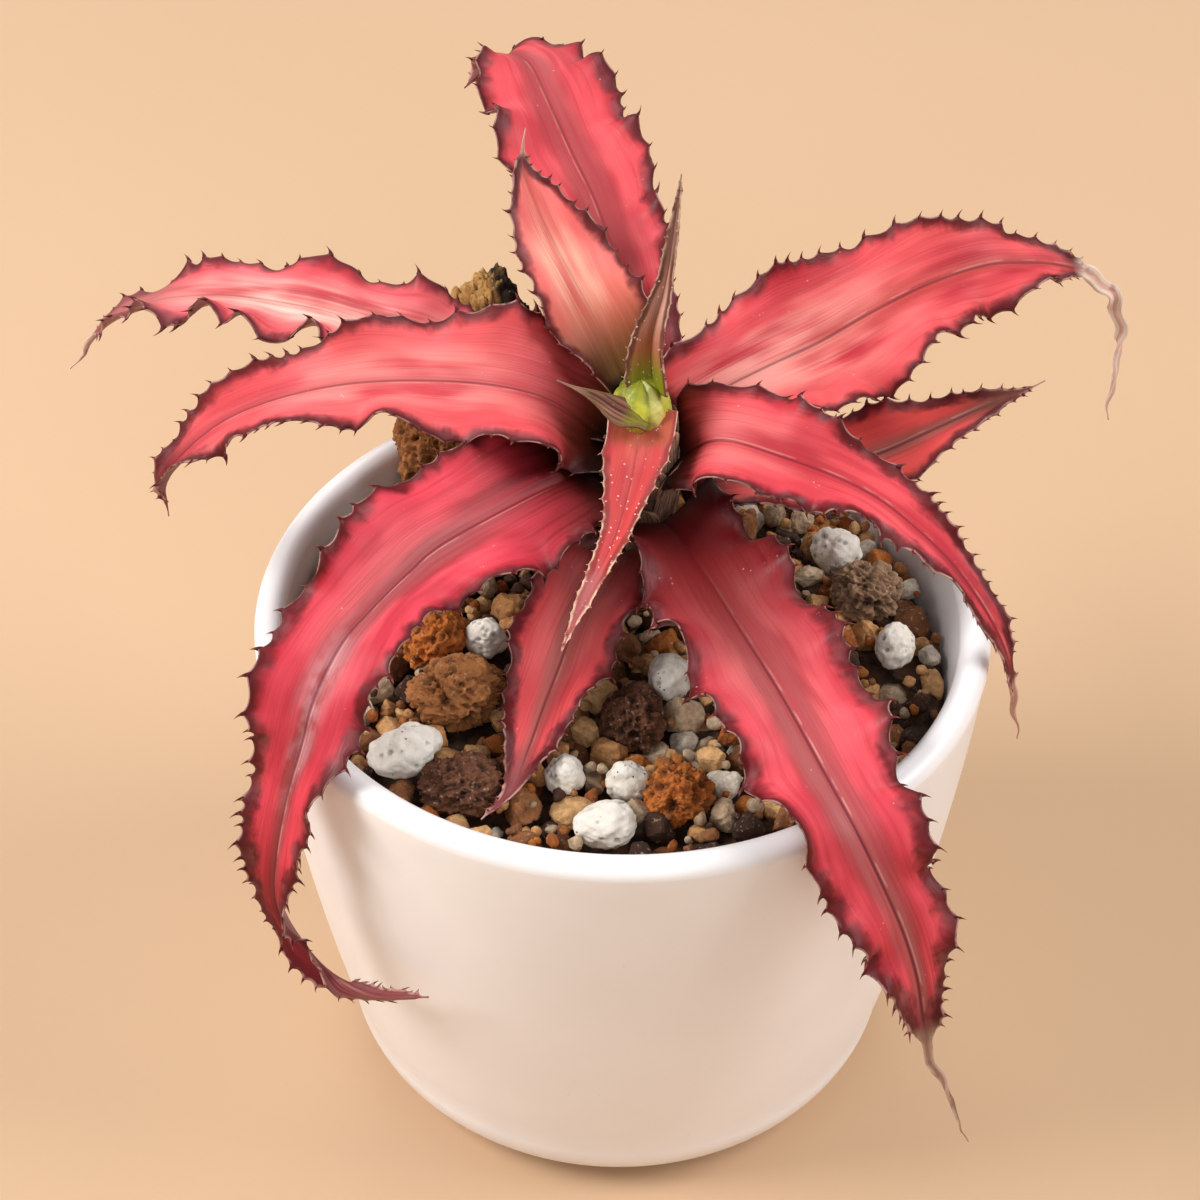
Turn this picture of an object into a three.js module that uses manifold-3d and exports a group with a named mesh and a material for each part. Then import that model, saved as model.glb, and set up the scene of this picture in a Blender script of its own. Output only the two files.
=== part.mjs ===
import * as THREE from "three";
import { mergeVertices } from "three/addons/utils/BufferGeometryUtils.js";
import Module from "manifold-3d";

// An earth star (Cryptanthus) in a plain white pot of gritty stone mix.
// Millimetres, +Z up. The origin is the centre of the pot's foot, on the surface it stands on.
// The viewer of the reference view stands at -Y, so -Y is the front and +X the right.

const wasm = await Module();
wasm.setup();

// Air kept between two pieces that touch, and the growth of a neighbour that cuts one clear.
const GAP = 0.3;

const POT = {
  height: 78,
  rimRadius: 50,
  footRadius: 40,
  footCorner: 10,
  bulge: 1.4,
  wall: 4.2,
  floor: 5,
  innerCorner: 8,
  around: 42,
};

// The grit fills the pot to a shallow dome: the level of its grains' tops at the wall and in
// the middle, and how much higher it lies at the wall towards one compass direction. The
// surface is a loosened honeycomb of grains, each a low crown of flat faces.
const BED = { atWall: 72.2, atMiddle: 73.8, lean: 1.6, leanTo: 150, around: 36 };
const GRAINS = {
  spacing: 7,
  rings: 8,
  loose: 0.42,
  uneven: 1.8,
  crown: 0.7,
  crownUneven: 0.14,
  shoulder: 0.5,
  slope: 0.9,
  cleft: 3.4,
  seed: 41,
};

// The larger stones that lie in the grit or lean on the rim: place of the centre, and half
// sizes along X, Y and Z, before a turn about Z in degrees.
const STONES = [
  { name: "pumice_front", at: [-2.1, -36, 71.8], half: [4.1, 3.2, 3], turn: 10, kind: "pumice" },
  { name: "pumice_left", at: [-28.6, -24.2, 73.3], half: [5, 3.8, 3.6], turn: 25, kind: "pumice" },
  { name: "pumice_centre", at: [6.6, -9.2, 72.9], half: [3.5, 3, 3.2], turn: 40, kind: "pumice" },
  { name: "pumice_middle", at: [0.7, -28, 71.7], half: [3, 2.6, 3], turn: 0, kind: "pumice" },
  { name: "pumice_near", at: [-7.4, -27.3, 71.9], half: [2.8, 2.6, 2.8], turn: 70, kind: "pumice" },
  { name: "pumice_inner", at: [-18.4, -2.8, 73.8], half: [3, 2.6, 3], turn: 15, kind: "pumice" },
  { name: "pumice_right", at: [37.4, -1, 71.5], half: [3.1, 2.8, 3], turn: 55, kind: "pumice" },
  { name: "pumice_rear", at: [30, 18, 72.6], half: [4, 3.4, 3.4], turn: 30, kind: "pumice" },
  { name: "lava_left", at: [-22, -14, 74.1], half: [6.2, 5, 4.6], turn: 20, kind: "lava" },
  { name: "lava_inner_left", at: [-25.4, -3.4, 74.1], half: [4.6, 3.8, 4], turn: 60, kind: "lava" },
  { name: "lava_front_left", at: [-20.6, -29.7, 72.5], half: [4.8, 4.2, 3.4], turn: 0, kind: "lava" },
  { name: "lava_centre", at: [1.4, -17, 72.5], half: [4.6, 3.8, 3.4], turn: 80, kind: "lava" },
  { name: "lava_front_right", at: [7.4, -29.9, 71.6], half: [4, 3.4, 3.4], turn: 35, kind: "lava" },
  { name: "lava_rear_right", at: [34, 9.2, 72.5], half: [4.4, 4, 3.8], turn: 10, kind: "lava" },
  { name: "lava_back_low", at: [-26.6, 33, 79.6], half: [7, 6, 9.4], turn: 40, kind: "lava" },
  { name: "lava_back_tall", at: [-19, 39.4, 87.4], half: [9.4, 6, 18.6], turn: -20, kind: "lava" },
];
const STONE_KINDS = {
  pumice: { colour: 0xd8d0c2, roughness: 0.9, seed: 7, uneven: 0.16 },
  lava: { colour: 0x7a4a2a, roughness: 0.95, seed: 19, uneven: 0.3 },
};

// The short stem stands behind the pot's centre; the leaves spring from it.
const STEM = {
  x: 2.5,
  y: 14,
  bottom: 55,
  top: 97.5,
  radius: 4.7,
  around: 14,
  scalesFrom: 76,
  scaleRise: 6,
  scaleTuck: 0.7,
  scaleFlare: 0.3,
};
const HEART = { x: -0.45, y: 0, bottom: 97.9, height: 7, radius: 4.1, around: 14 };

// A blade's thickness at its rib and margin, the step between its teeth and their size, how
// much its outline swings with the ruffle, half the width of a dried tip, the half width from
// which a blade has its full ruffle, and the lanes across it that its faces follow.

const BLADE = {
  rib: 1.2,
  margin: 0.65,
  pitch: 3.5,
  tooth: 1.5,
  hook: 0.9,
  scallop: 0.07,
  thread: 0.8,
  fullHalf: 7.5,
  lanes: [-1, -0.5, 0, 0.5, 1],
};

// The leaves. heading: compass direction of the blade in degrees, 0 = +X and 90 = +Y.
// midrib: points [out, side, height] from the stem's axis, side being positive anticlockwise.
// widths: across the flattened blade without its teeth, at even steps from the base to where
// the dry thread of the tip begins, which is at the share end of the leaf's length.
// fold and roll: degrees at the base, middle and tip; the fold lifts both margins, the roll
// turns the blade about its midrib. wave: height and length of the ruffle, and where each
// margin's ruffle starts, in wavelengths. thread: half the width of a broad dried tip.
const LEAVES = [
  {
    name: "leaf_centre_spike", heading: 70, widths: [8.6, 8.2, 6, 4, 2.6, 1.8, 1.1], end: 0.97,
    midrib: [[1, -1, 103.4], [3, 0, 110], [5, -1, 118], [6, -1.6, 126], [7, -2, 134]],
    fold: [50, 50, 30], roll: [0, 0, 0], wave: { size: 0, length: 12, left: 0, right: 0 },
    colour: 0x8a7358, tooth: 0.7,
  },
  {
    name: "leaf_centre_dry", heading: 190, widths: [4, 5.4, 5.4, 4.4, 3, 1.8, 1], end: 0.98,
    midrib: [[1.3, 4.6, 101.6], [4.4, 3.2, 103], [7.7, 1.9, 105.2], [12, 1, 107.5]],
    fold: [30, 35, 20], roll: [0, 0, 0], wave: { size: 0.3, length: 5, left: 0, right: 0.5 },
    colour: 0x6a5a4e, tooth: 0,
  },
  {
    name: "leaf_front_young", heading: -98, widths: [9.6, 7.6, 5, 3.6, 2.6, 1.9, 1.2], end: 0.98,
    midrib: [[4.2, 0, 98.6], [9, -0.3, 95.8], [17, -1, 93.2], [24, -2.3, 92], [31, -3.9, 91],
      [37.5, -5.3, 89.4]],
    fold: [20, 30, 30], roll: [0, 0, 0], wave: { size: 0.3, length: 14, left: 0, right: 0.4 },
    colour: 0xc9586a, tooth: 0.8,
  },
  {
    name: "leaf_back_middle", heading: 126, widths: [7.4, 11.8, 15, 13.6, 10.4, 6.6, 1.4],
    end: 0.9,
    midrib: [[5, 0, 101.5], [10, 0, 107.7], [15.2, 0.3, 113], [19.3, 0, 116.4],
      [23.3, 0, 120.3], [27.3, -0.4, 124.4], [30.6, -3, 128]],
    fold: [30, 16, 16], roll: [0, 0, 0], wave: { size: 0.8, length: 13, left: 0.1, right: 0.5 },
    colour: 0xd9606c, tooth: 1.3,
  },
  {
    name: "leaf_back_tall", heading: 100, widths: [9, 11.5, 14.6, 18, 18, 13.6, 2], end: 0.99,
    midrib: [[4.5, 0, 97], [10, -1, 104.4], [17, 0, 110], [23, 1, 112.6], [30, 2, 114.8],
      [37, 3.6, 117], [43, 4.8, 118.8], [51, 6, 120.2], [56.6, 7, 120.6], [60.8, 9.2, 119.6],
      [62.4, 12.4, 117.2], [62.8, 15.6, 113.6]],
    fold: [30, 14, 20], roll: [0, 0, 0], wave: { size: 1.8, length: 14, left: 0, right: 0.45 },
    colour: 0xd9505f, tooth: 1.5,
  },
  {
    name: "leaf_right_upper", heading: 25, widths: [13, 18.5, 21.4, 19.4, 14, 9.6, 1.8], end: 0.67,
    midrib: [[5, 0, 96], [10, 0, 99.4], [17.6, 0, 101.6], [26.4, 0, 103.6], [34.1, 0, 106.2],
      [42.8, 0, 108.4], [51.7, 0, 109], [58, 0, 107.7], [63.6, 0, 105.8], [69.7, 0, 102.4],
      [74.6, 0, 96.7], [76.6, 0, 89], [76.6, 0, 81], [76.4, 0, 74.4]],
    fold: [26, 16, 20], roll: [30, 28, 10], wave: { size: 2, length: 21, left: 0.1, right: 0.6 },
    colour: 0xdd5666, tooth: 1.5, thread: 1.3,
  },
  {
    name: "leaf_left_rear", heading: 158, widths: [12, 15, 17, 17.2, 14.6, 9.4, 1.6], end: 0.9,
    midrib: [[5.4, -1, 94], [12, -1.6, 98.2], [22, -1, 100.6], [31.5, 0.4, 102.3],
      [43.5, 0.8, 103.4], [51, 1.4, 103.8], [59.8, 2.2, 103.4], [67.2, 3.2, 102],
      [73.2, 4.1, 99.8], [80, 5.9, 95.4], [86, 6.3, 86]],
    fold: [26, 14, 20], roll: [-4, 2, 2], wave: { size: 1.2, length: 15, left: 0.5, right: 0.1 },
    colour: 0xd85a68, tooth: 1.4,
  },
  {
    name: "leaf_left", heading: 185, widths: [15, 20, 18, 14.4, 10, 7, 1.6], end: 0.97,
    midrib: [[5.4, -1, 94], [10, -1, 99.6], [15.6, -0.2, 103.8], [24.6, 0.2, 106.3],
      [37, 0.2, 106.9], [47.1, 0.4, 105.4], [55.7, 0.4, 101.8], [62.1, 0.4, 96], [65, 0.1, 91],
      [64.8, -0.8, 85]],
    fold: [26, 22, 30], roll: [-28, -24, -10],
    wave: { size: 1.9, length: 17, left: 0.4, right: 0.1 }, colour: 0xd85566, tooth: 1.4,
  },
  {
    name: "leaf_right_front", heading: -22, widths: [13.6, 16.4, 12.8, 8.6, 5.6, 4, 1.6], end: 0.86,
    midrib: [[5, 1, 92.6], [11, 0.1, 98.2], [19.8, -0.3, 98.5], [28.5, -0.5, 97.5],
      [34.4, -0.9, 95.9], [39.6, -2, 93.8], [44.2, -3, 91.2], [48, -3.8, 87.8],
      [51.2, -4.2, 83.8], [53.8, -4.2, 78.8], [55.4, -3.2, 71.4], [56.8, -2.6, 62.6]],
    fold: [26, 22, 20], roll: [25, 20, 0], wave: { size: 1.3, length: 17, left: 0, right: 0.5 },
    colour: 0xd95a66, tooth: 1.4,
  },
  {
    name: "leaf_left_front", heading: 226, widths: [15, 20.5, 18.5, 13, 7.6, 3.8, 1.4],
    end: 0.98,
    midrib: [[6, -2.6, 90.6], [10, -2.6, 92.8], [18.5, -2.4, 94.8], [34, -3.2, 95.2],
      [40.8, -2.8, 94.4], [48, -2.2, 92.8], [53.6, -1.8, 90.6], [59.6, -0.3, 86.4],
      [62.4, 0.2, 81], [65.4, -0.1, 73], [67.4, -0.6, 64], [67.9, -1, 55.4], [67, 0.8, 49],
      [66, 5.6, 44.6], [64.8, 12, 44.6], [63.6, 18, 47.6], [63.2, 23, 51.4]],
    fold: [24, 20, 60], roll: [-24, -18, 0],
    wave: { size: 1.9, length: 21, left: 0, right: 0.4 }, colour: 0xd04a5e, tooth: 1.4,
  },
  {
    name: "leaf_right_rear", heading: 8, widths: [9, 12.4, 14, 13.4, 10.4, 5.2, 1.2], end: 0.96,
    midrib: [[5.6, 0, 85.4], [9, 0.5, 87.6], [16.5, 0.5, 87.4], [26.2, 0, 87.5],
      [33.2, 0, 89.5], [40.3, 0.5, 92.4], [48.5, 1.4, 95.6], [56.3, 2.6, 98]],
    fold: [24, 16, 24], roll: [20, 20, 10], wave: { size: 1, length: 14, left: 0, right: 0.5 },
    colour: 0xb03a4c, tooth: 1.3,
  },
  {
    name: "leaf_front_right", heading: -66, widths: [15, 19.4, 21, 19.6, 14.8, 10.6, 3], end: 0.83,
    midrib: [[5.6, 0, 84], [9.4, 0, 86.6], [19, 0, 87], [29, 0, 86.2], [43.5, 0, 85],
      [56.2, 0, 82.5], [62, 0.3, 80.6], [65.6, 1.4, 77], [69, 3.8, 69.5], [70.5, 5.4, 64],
      [72.4, 6.4, 58.5], [73, 7.6, 51], [74, 8.4, 45.5], [76.8, 10, 40], [80, 12.3, 31]],
    fold: [24, 14, 14], roll: [0, 0, 0], wave: { size: 1.9, length: 15, left: 0, right: 0.5 },
    colour: 0xcf4a5c, tooth: 1.4,
  },
  {
    name: "leaf_front", heading: -111, widths: [9.4, 13.8, 15, 13.2, 9, 4.2, 1.2], end: 0.98,
    midrib: [[5.8, 0, 79.6], [10.4, 0, 82], [15.3, -0.8, 81], [22.2, -1, 79.6], [29.7, -0.4, 78],
      [36, 0, 76.6], [42.7, 0.6, 75.2], [49.3, 1, 74.2], [54.5, -1, 73.2]],
    fold: [24, 20, 30], roll: [0, 0, 0], wave: { size: 1.2, length: 13, left: 0, right: 0.4 },
    colour: 0xb53a50, tooth: 1.3,
  },
];

// A repeatable stream of numbers from 0 to 1.
function seededRandom(seed) {
  let state = seed;
  return () => {
    state = (state * 1664525 + 1013904223) % 4294967296;
    return state / 4294967296;
  };
}

// The value at share u of a leaf's length, through three values at its base, middle and tip.
function through([base, middle, tip], u) {
  return base * (1 - u) * (1 - 2 * u) + middle * 4 * u * (1 - u) + tip * u * (2 * u - 1);
}

function solidFrom(geometry) {
  const bare = new THREE.BufferGeometry();
  bare.setAttribute("position", geometry.getAttribute("position"));
  bare.setIndex(geometry.getIndex());
  const merged = mergeVertices(bare, 1e-4);
  return new wasm.Manifold(new wasm.Mesh({
    numProp: 3,
    vertProperties: new Float32Array(merged.getAttribute("position").array),
    triVerts: new Uint32Array(merged.getIndex().array),
  }));
}

function geometryFrom(solid) {
  const mesh = solid.getMesh();
  const geometry = new THREE.BufferGeometry();
  geometry.setAttribute("position", new THREE.BufferAttribute(mesh.vertProperties, 3));
  geometry.setIndex(new THREE.BufferAttribute(mesh.triVerts, 1));
  geometry.computeVertexNormals();
  return geometry;
}

// The largest body of a solid that a cut may have parted.
function largestBody(solid) {
  const bodies = solid.decompose();
  return bodies.reduce((best, body) => (body.volume() > best.volume() ? body : best));
}

// Collects points and triangles, and turns them into a closed geometry.
class Skin {
  constructor() {
    this.points = [];
    this.faces = [];
  }

  point(vector) {
    this.points.push(vector.x, vector.y, vector.z);
    return this.points.length / 3 - 1;
  }

  face(a, b, c) {
    this.faces.push(a, b, c);
  }

  // A fan of triangles from the first corner, facing the way the corners turn.
  fan(...corners) {
    for (let i = 1; i < corners.length - 1; i += 1) {
      this.face(corners[0], corners[i], corners[i + 1]);
    }
  }

  geometry() {
    const geometry = new THREE.BufferGeometry();
    geometry.setAttribute("position", new THREE.Float32BufferAttribute(this.points, 3));
    geometry.setIndex(this.faces);
    return geometry;
  }

  // The solid between an open top surface and a level floor: its rim is walled down to z.
  solidDownTo(z) {
    const merged = mergeVertices(this.geometry(), 1e-3);
    const position = merged.getAttribute("position");
    const index = Array.from(merged.getIndex().array);
    const edges = new Set();
    for (let i = 0; i < index.length; i += 3) {
      [[0, 1], [1, 2], [2, 0]].forEach(([a, b]) => edges.add(`${index[i + a]}_${index[i + b]}`));
    }
    const block = new Skin();
    for (let i = 0; i < position.count; i += 1) {
      block.point(new THREE.Vector3().fromBufferAttribute(position, i));
    }
    block.faces.push(...index);
    const floorCentre = block.point(new THREE.Vector3(0, 0, z));
    edges.forEach((edge) => {
      const [a, b] = edge.split("_").map(Number);
      if (edges.has(`${b}_${a}`)) {
        return;
      }
      const [low, next] = [a, b].map((corner) => {
        const point = new THREE.Vector3().fromBufferAttribute(position, corner);
        return block.point(point.setZ(z));
      });
      block.fan(b, a, low, next);
      block.face(floorCentre, next, low);
    });
    return solidFrom(block.geometry());
  }
}

function mesh(name, geometry, colour, roughness) {
  const material = new THREE.MeshStandardMaterial({ color: colour, roughness, metalness: 0 });
  const piece = new THREE.Mesh(geometry, material);
  piece.name = name;
  return piece;
}

// Lathe about Z from [radius, height] pairs that run from the axis back to the axis.
function turned(profile, around) {
  const points = profile.map(([radius, height]) => new THREE.Vector2(radius, height));
  const geometry = new THREE.LatheGeometry(points, around);
  geometry.rotateX(Math.PI / 2);
  return geometryFrom(solidFrom(geometry));
}

function arc(centreR, centreZ, radius, fromDeg, toDeg, steps) {
  return Array.from({ length: steps + 1 }, (_, i) => {
    const angle = THREE.MathUtils.degToRad(fromDeg + ((toDeg - fromDeg) * i) / steps);
    return [centreR + radius * Math.cos(angle), centreZ + radius * Math.sin(angle)];
  });
}

// Outer radius of the pot's side above its rounded foot: a straight flare with a slight belly.
function potRadius(z) {
  const share = Math.max(0, (z - POT.footCorner) / (POT.height - POT.footCorner));
  const flare = POT.footRadius + (POT.rimRadius - POT.footRadius) * share;
  return flare + POT.bulge * 4 * share * (1 - share);
}

function potInnerRadius(z) {
  return potRadius(z) - POT.wall;
}

function potGeometry() {
  const lip = POT.wall / 2;
  const sideHeights = [26, 43, 60];
  const profile = [
    [0, 0],
    ...arc(POT.footRadius - POT.footCorner, POT.footCorner, POT.footCorner, -90, 0, 4),
    ...sideHeights.map((z) => [potRadius(z), z]),
    ...arc(POT.rimRadius - lip, POT.height - lip, lip, 0, 180, 5),
    ...[45, 20].map((z) => [potInnerRadius(z), z]),
    [potInnerRadius(POT.floor) - POT.innerCorner / 2, POT.floor + POT.innerCorner / 4],
    [potInnerRadius(POT.floor) - POT.innerCorner, POT.floor],
    [0, POT.floor],
  ];
  return turned(profile, POT.around);
}

// Level of the grit's surface at a place in the pot.
function bedLevel(x, y) {
  const reach = potInnerRadius(BED.atWall);
  const share = Math.min(1, Math.hypot(x, y) / reach);
  const side = THREE.MathUtils.degToRad(BED.leanTo);
  const lean = (BED.lean * (x * Math.cos(side) + y * Math.sin(side))) / reach;
  return BED.atMiddle + (BED.atWall - BED.atMiddle) * share * share + lean;
}

// A stone: a ball of flat faces, its corners pushed in by up to the share uneven.
function lumpGeometry(half, random, uneven) {
  const ball = new THREE.IcosahedronGeometry(1, 1);
  ball.deleteAttribute("normal");
  ball.deleteAttribute("uv");
  const geometry = mergeVertices(ball, 1e-4);
  const position = geometry.getAttribute("position");
  const point = new THREE.Vector3();
  for (let i = 0; i < position.count; i += 1) {
    point.fromBufferAttribute(position, i).multiplyScalar(1 - uneven * random());
    position.setXYZ(i, point.x * half[0], point.y * half[1], point.z * half[2]);
  }
  return geometry;
}

// A stone's solid, grown by a margin.
function stoneSolid(stone, grow = 0) {
  const { seed, uneven } = STONE_KINDS[stone.kind];
  const random = seededRandom(seed + Math.round(Math.abs(stone.at[0] * 10)));
  const half = stone.half.map((size) => size + grow);
  const geometry = lumpGeometry(half, random, uneven);
  geometry.rotateZ(THREE.MathUtils.degToRad(stone.turn));
  geometry.translate(...stone.at);
  return solidFrom(geometry);
}

// The room that the pot leaves for stones: inside its wall, and anywhere above its rim.
function roomOfPot() {
  const bottom = BED.atWall - 15;
  const rim = POT.height + GAP;
  const reach = POT.rimRadius + 20;
  const sky = rim + 60;
  return solidFrom(turned([
    [0, bottom],
    [potInnerRadius(bottom) - 2 * GAP, bottom],
    [potInnerRadius(POT.height - POT.wall) - 2 * GAP, POT.height - POT.wall],
    [potInnerRadius(POT.height) - 2 * GAP, rim],
    [reach, rim],
    [reach, sky],
    [0, sky],
  ], POT.around));
}

// A block whose top is the grains: each cell of a honeycomb, its centre moved at random, has
// a peak, a crown of six faces round it, and flanks down into the clefts between grains.
function grainBlock() {
  const random = seededRandom(GRAINS.seed);
  const reach = GRAINS.rings + 1;
  const cells = new Map();
  for (let q = -reach; q <= reach; q += 1) {
    for (let r = -reach; r <= reach; r += 1) {
      const x = (q + r / 2 + (random() - 0.5) * GRAINS.loose) * GRAINS.spacing;
      const y = (r * Math.sqrt(0.75) + (random() - 0.5) * GRAINS.loose) * GRAINS.spacing;
      const top = bedLevel(x, y) - GRAINS.uneven * random();
      cells.set(`${q},${r}`, { centre: new THREE.Vector3(x, y, top), size: random() });
    }
  }
  const steps = [[1, 0], [0, 1], [-1, 1], [-1, 0], [0, -1], [1, -1]];
  const skin = new Skin();
  for (let q = -GRAINS.rings; q <= GRAINS.rings; q += 1) {
    for (let r = -GRAINS.rings; r <= GRAINS.rings; r += 1) {
      if (Math.abs(q + r) > GRAINS.rings) {
        continue;
      }
      const { centre, size } = cells.get(`${q},${r}`);
      const around = steps.map(([dq, dr]) => cells.get(`${q + dq},${r + dr}`).centre);
      const clefts = around.map((next, k) => {
        const corner = centre.clone().add(next).add(around[(k + 1) % 6]).divideScalar(3);
        corner.z -= GRAINS.cleft;
        return corner;
      });
      const crown = clefts.map((corner, k) => {
        const share = GRAINS.crown + GRAINS.crownUneven * size * (k % 2 === 0 ? 1 : -1);
        const point = centre.clone().lerp(corner, share);
        const drop = GRAINS.slope * size * Math.abs(Math.sin(2 * k + q));
        return point.setZ(centre.z - GRAINS.shoulder - drop);
      });
      const peak = skin.point(centre);
      const ring = crown.map((point) => skin.point(point));
      const foot = clefts.map((point) => skin.point(point));
      for (let k = 0; k < 6; k += 1) {
        const next = (k + 1) % 6;
        skin.face(peak, ring[k], ring[next]);
        skin.fan(foot[k], foot[next], ring[next], ring[k]);
      }
    }
  }
  return skin.solidDownTo(0);
}

// The grit: one body that fills the pot, its surface made of grains, with a hole for the stem
// and a socket for each of the larger stones.
function bedGeometry() {
  const bottom = POT.floor + GAP;
  const top = POT.height - 2;
  const room = solidFrom(turned([
    [0, bottom],
    [potInnerRadius(bottom) - POT.innerCorner - GAP, bottom],
    [potInnerRadius(bottom) - POT.innerCorner / 2 - GAP, bottom + POT.innerCorner / 4],
    ...[20, 45, top].map((z) => [potInnerRadius(z) - GAP, z]),
    [0, top],
  ], BED.around));
  const heaped = room.intersect(grainBlock());
  const hole = solidFrom(turned(stemProfile(GAP), STEM.around)).translate([STEM.x, STEM.y, 0]);
  const sockets = STONES.map((stone) => stoneSolid(stone, GAP));
  const cut = heaped.subtract(wasm.Manifold.union([hole, ...sockets]));
  return geometryFrom(largestBody(cut).simplify(0.12));
}

// The stem's outline, grown by a margin: a rounded foot, then a column of old leaf bases.
function stemProfile(grow) {
  const foot = STEM.radius + grow;
  const profile = [
    [0, STEM.bottom - grow],
    [foot * 0.7, STEM.bottom + 0.6 - grow],
    [foot, STEM.bottom + 3],
    [foot, STEM.scalesFrom - 2],
  ];
  for (let z = STEM.scalesFrom; z < STEM.top - STEM.scaleRise; z += STEM.scaleRise) {
    profile.push([foot - STEM.scaleTuck, z]);
    profile.push([foot + STEM.scaleFlare, z + STEM.scaleRise * 0.85]);
  }
  profile.push([foot - 0.9, STEM.top - 1.5]);
  profile.push([foot - 2.4, STEM.top + grow]);
  profile.push([0, STEM.top + grow]);
  return profile;
}

// The green heart of the rosette: the sheathing bases of the youngest leaves.
function heartGeometry() {
  const { bottom, height, radius } = HEART;
  const geometry = turned([
    [0, bottom],
    [radius * 0.8, bottom],
    [radius, bottom + height * 0.35],
    [radius * 0.86, bottom + height * 0.75],
    [radius * 0.45, bottom + height],
    [0, bottom + height * 0.9],
  ], HEART.around);
  geometry.translate(HEART.x, HEART.y, 0);
  return geometry;
}

function midribCurve(leaf) {
  const turn = THREE.MathUtils.degToRad(leaf.heading);
  const points = leaf.midrib.map(([out, side, height]) => new THREE.Vector3(
    out * Math.cos(turn) - side * Math.sin(turn),
    out * Math.sin(turn) + side * Math.cos(turn),
    height,
  ));
  return new THREE.CatmullRomCurve3(points, false, "catmullrom", 0.5);
}

// Half the blade's width at share u of the leaf, without its teeth.
function halfWidth(leaf, u) {
  const { widths, end, thread = BLADE.thread } = leaf;
  if (u >= end) {
    return thread * (1 - (0.5 * (u - end)) / (1 - end));
  }
  const place = (u / end) * (widths.length - 1);
  const step = Math.min(widths.length - 2, Math.floor(place));
  const before = widths[Math.max(0, step - 1)];
  const after = widths[Math.min(widths.length - 1, step + 2)];
  const share = place - step;
  const bend = (share * (1 - share)) / 2;
  const straight = widths[step] + (widths[step + 1] - widths[step]) * share;
  const round = bend * (widths[step] - before) * (1 - share)
    - bend * (after - widths[step + 1]) * share;
  return Math.max(thread, (straight + round) / 2);
}

// One place on the blade: lane -1 to 1 across it, and the blade's own directions there.
function bladeFrame(leaf, curve, u) {
  const turn = THREE.MathUtils.degToRad(leaf.heading);
  const along = curve.getTangentAt(u);
  const level = new THREE.Vector3(-Math.sin(turn), Math.cos(turn), 0);
  const across = level.addScaledVector(along, -level.dot(along)).normalize();
  const roll = THREE.MathUtils.degToRad(through(leaf.roll, u));
  across.applyAxisAngle(along, roll);
  const up = new THREE.Vector3().crossVectors(along, across);
  return { centre: curve.getPointAt(u), along, across, up };
}

function bladePoint(leaf, frame, u, length, lane) {
  const half = halfWidth(leaf, u);
  const { size, length: waveLength, left, right } = leaf.wave;
  const start = lane > 0 ? left : right;
  const turn = 2 * Math.PI * ((u * length) / waveLength + start);
  const reach = Math.abs(lane);
  const fold = THREE.MathUtils.degToRad(through(leaf.fold, u));
  const fullness = Math.min(1, half / BLADE.fullHalf);
  const wide = half * lane * (1 + BLADE.scallop * Math.cos(turn) * fullness * reach);
  const lift = half * (Math.sqrt(reach * reach + 0.02) - 0.1414) * Math.sin(fold)
    + size * reach * reach * Math.sin(turn) * fullness;
  return frame.centre.clone()
    .addScaledVector(frame.across, wide * Math.cos(fold))
    .addScaledVector(frame.up, lift);
}

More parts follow.
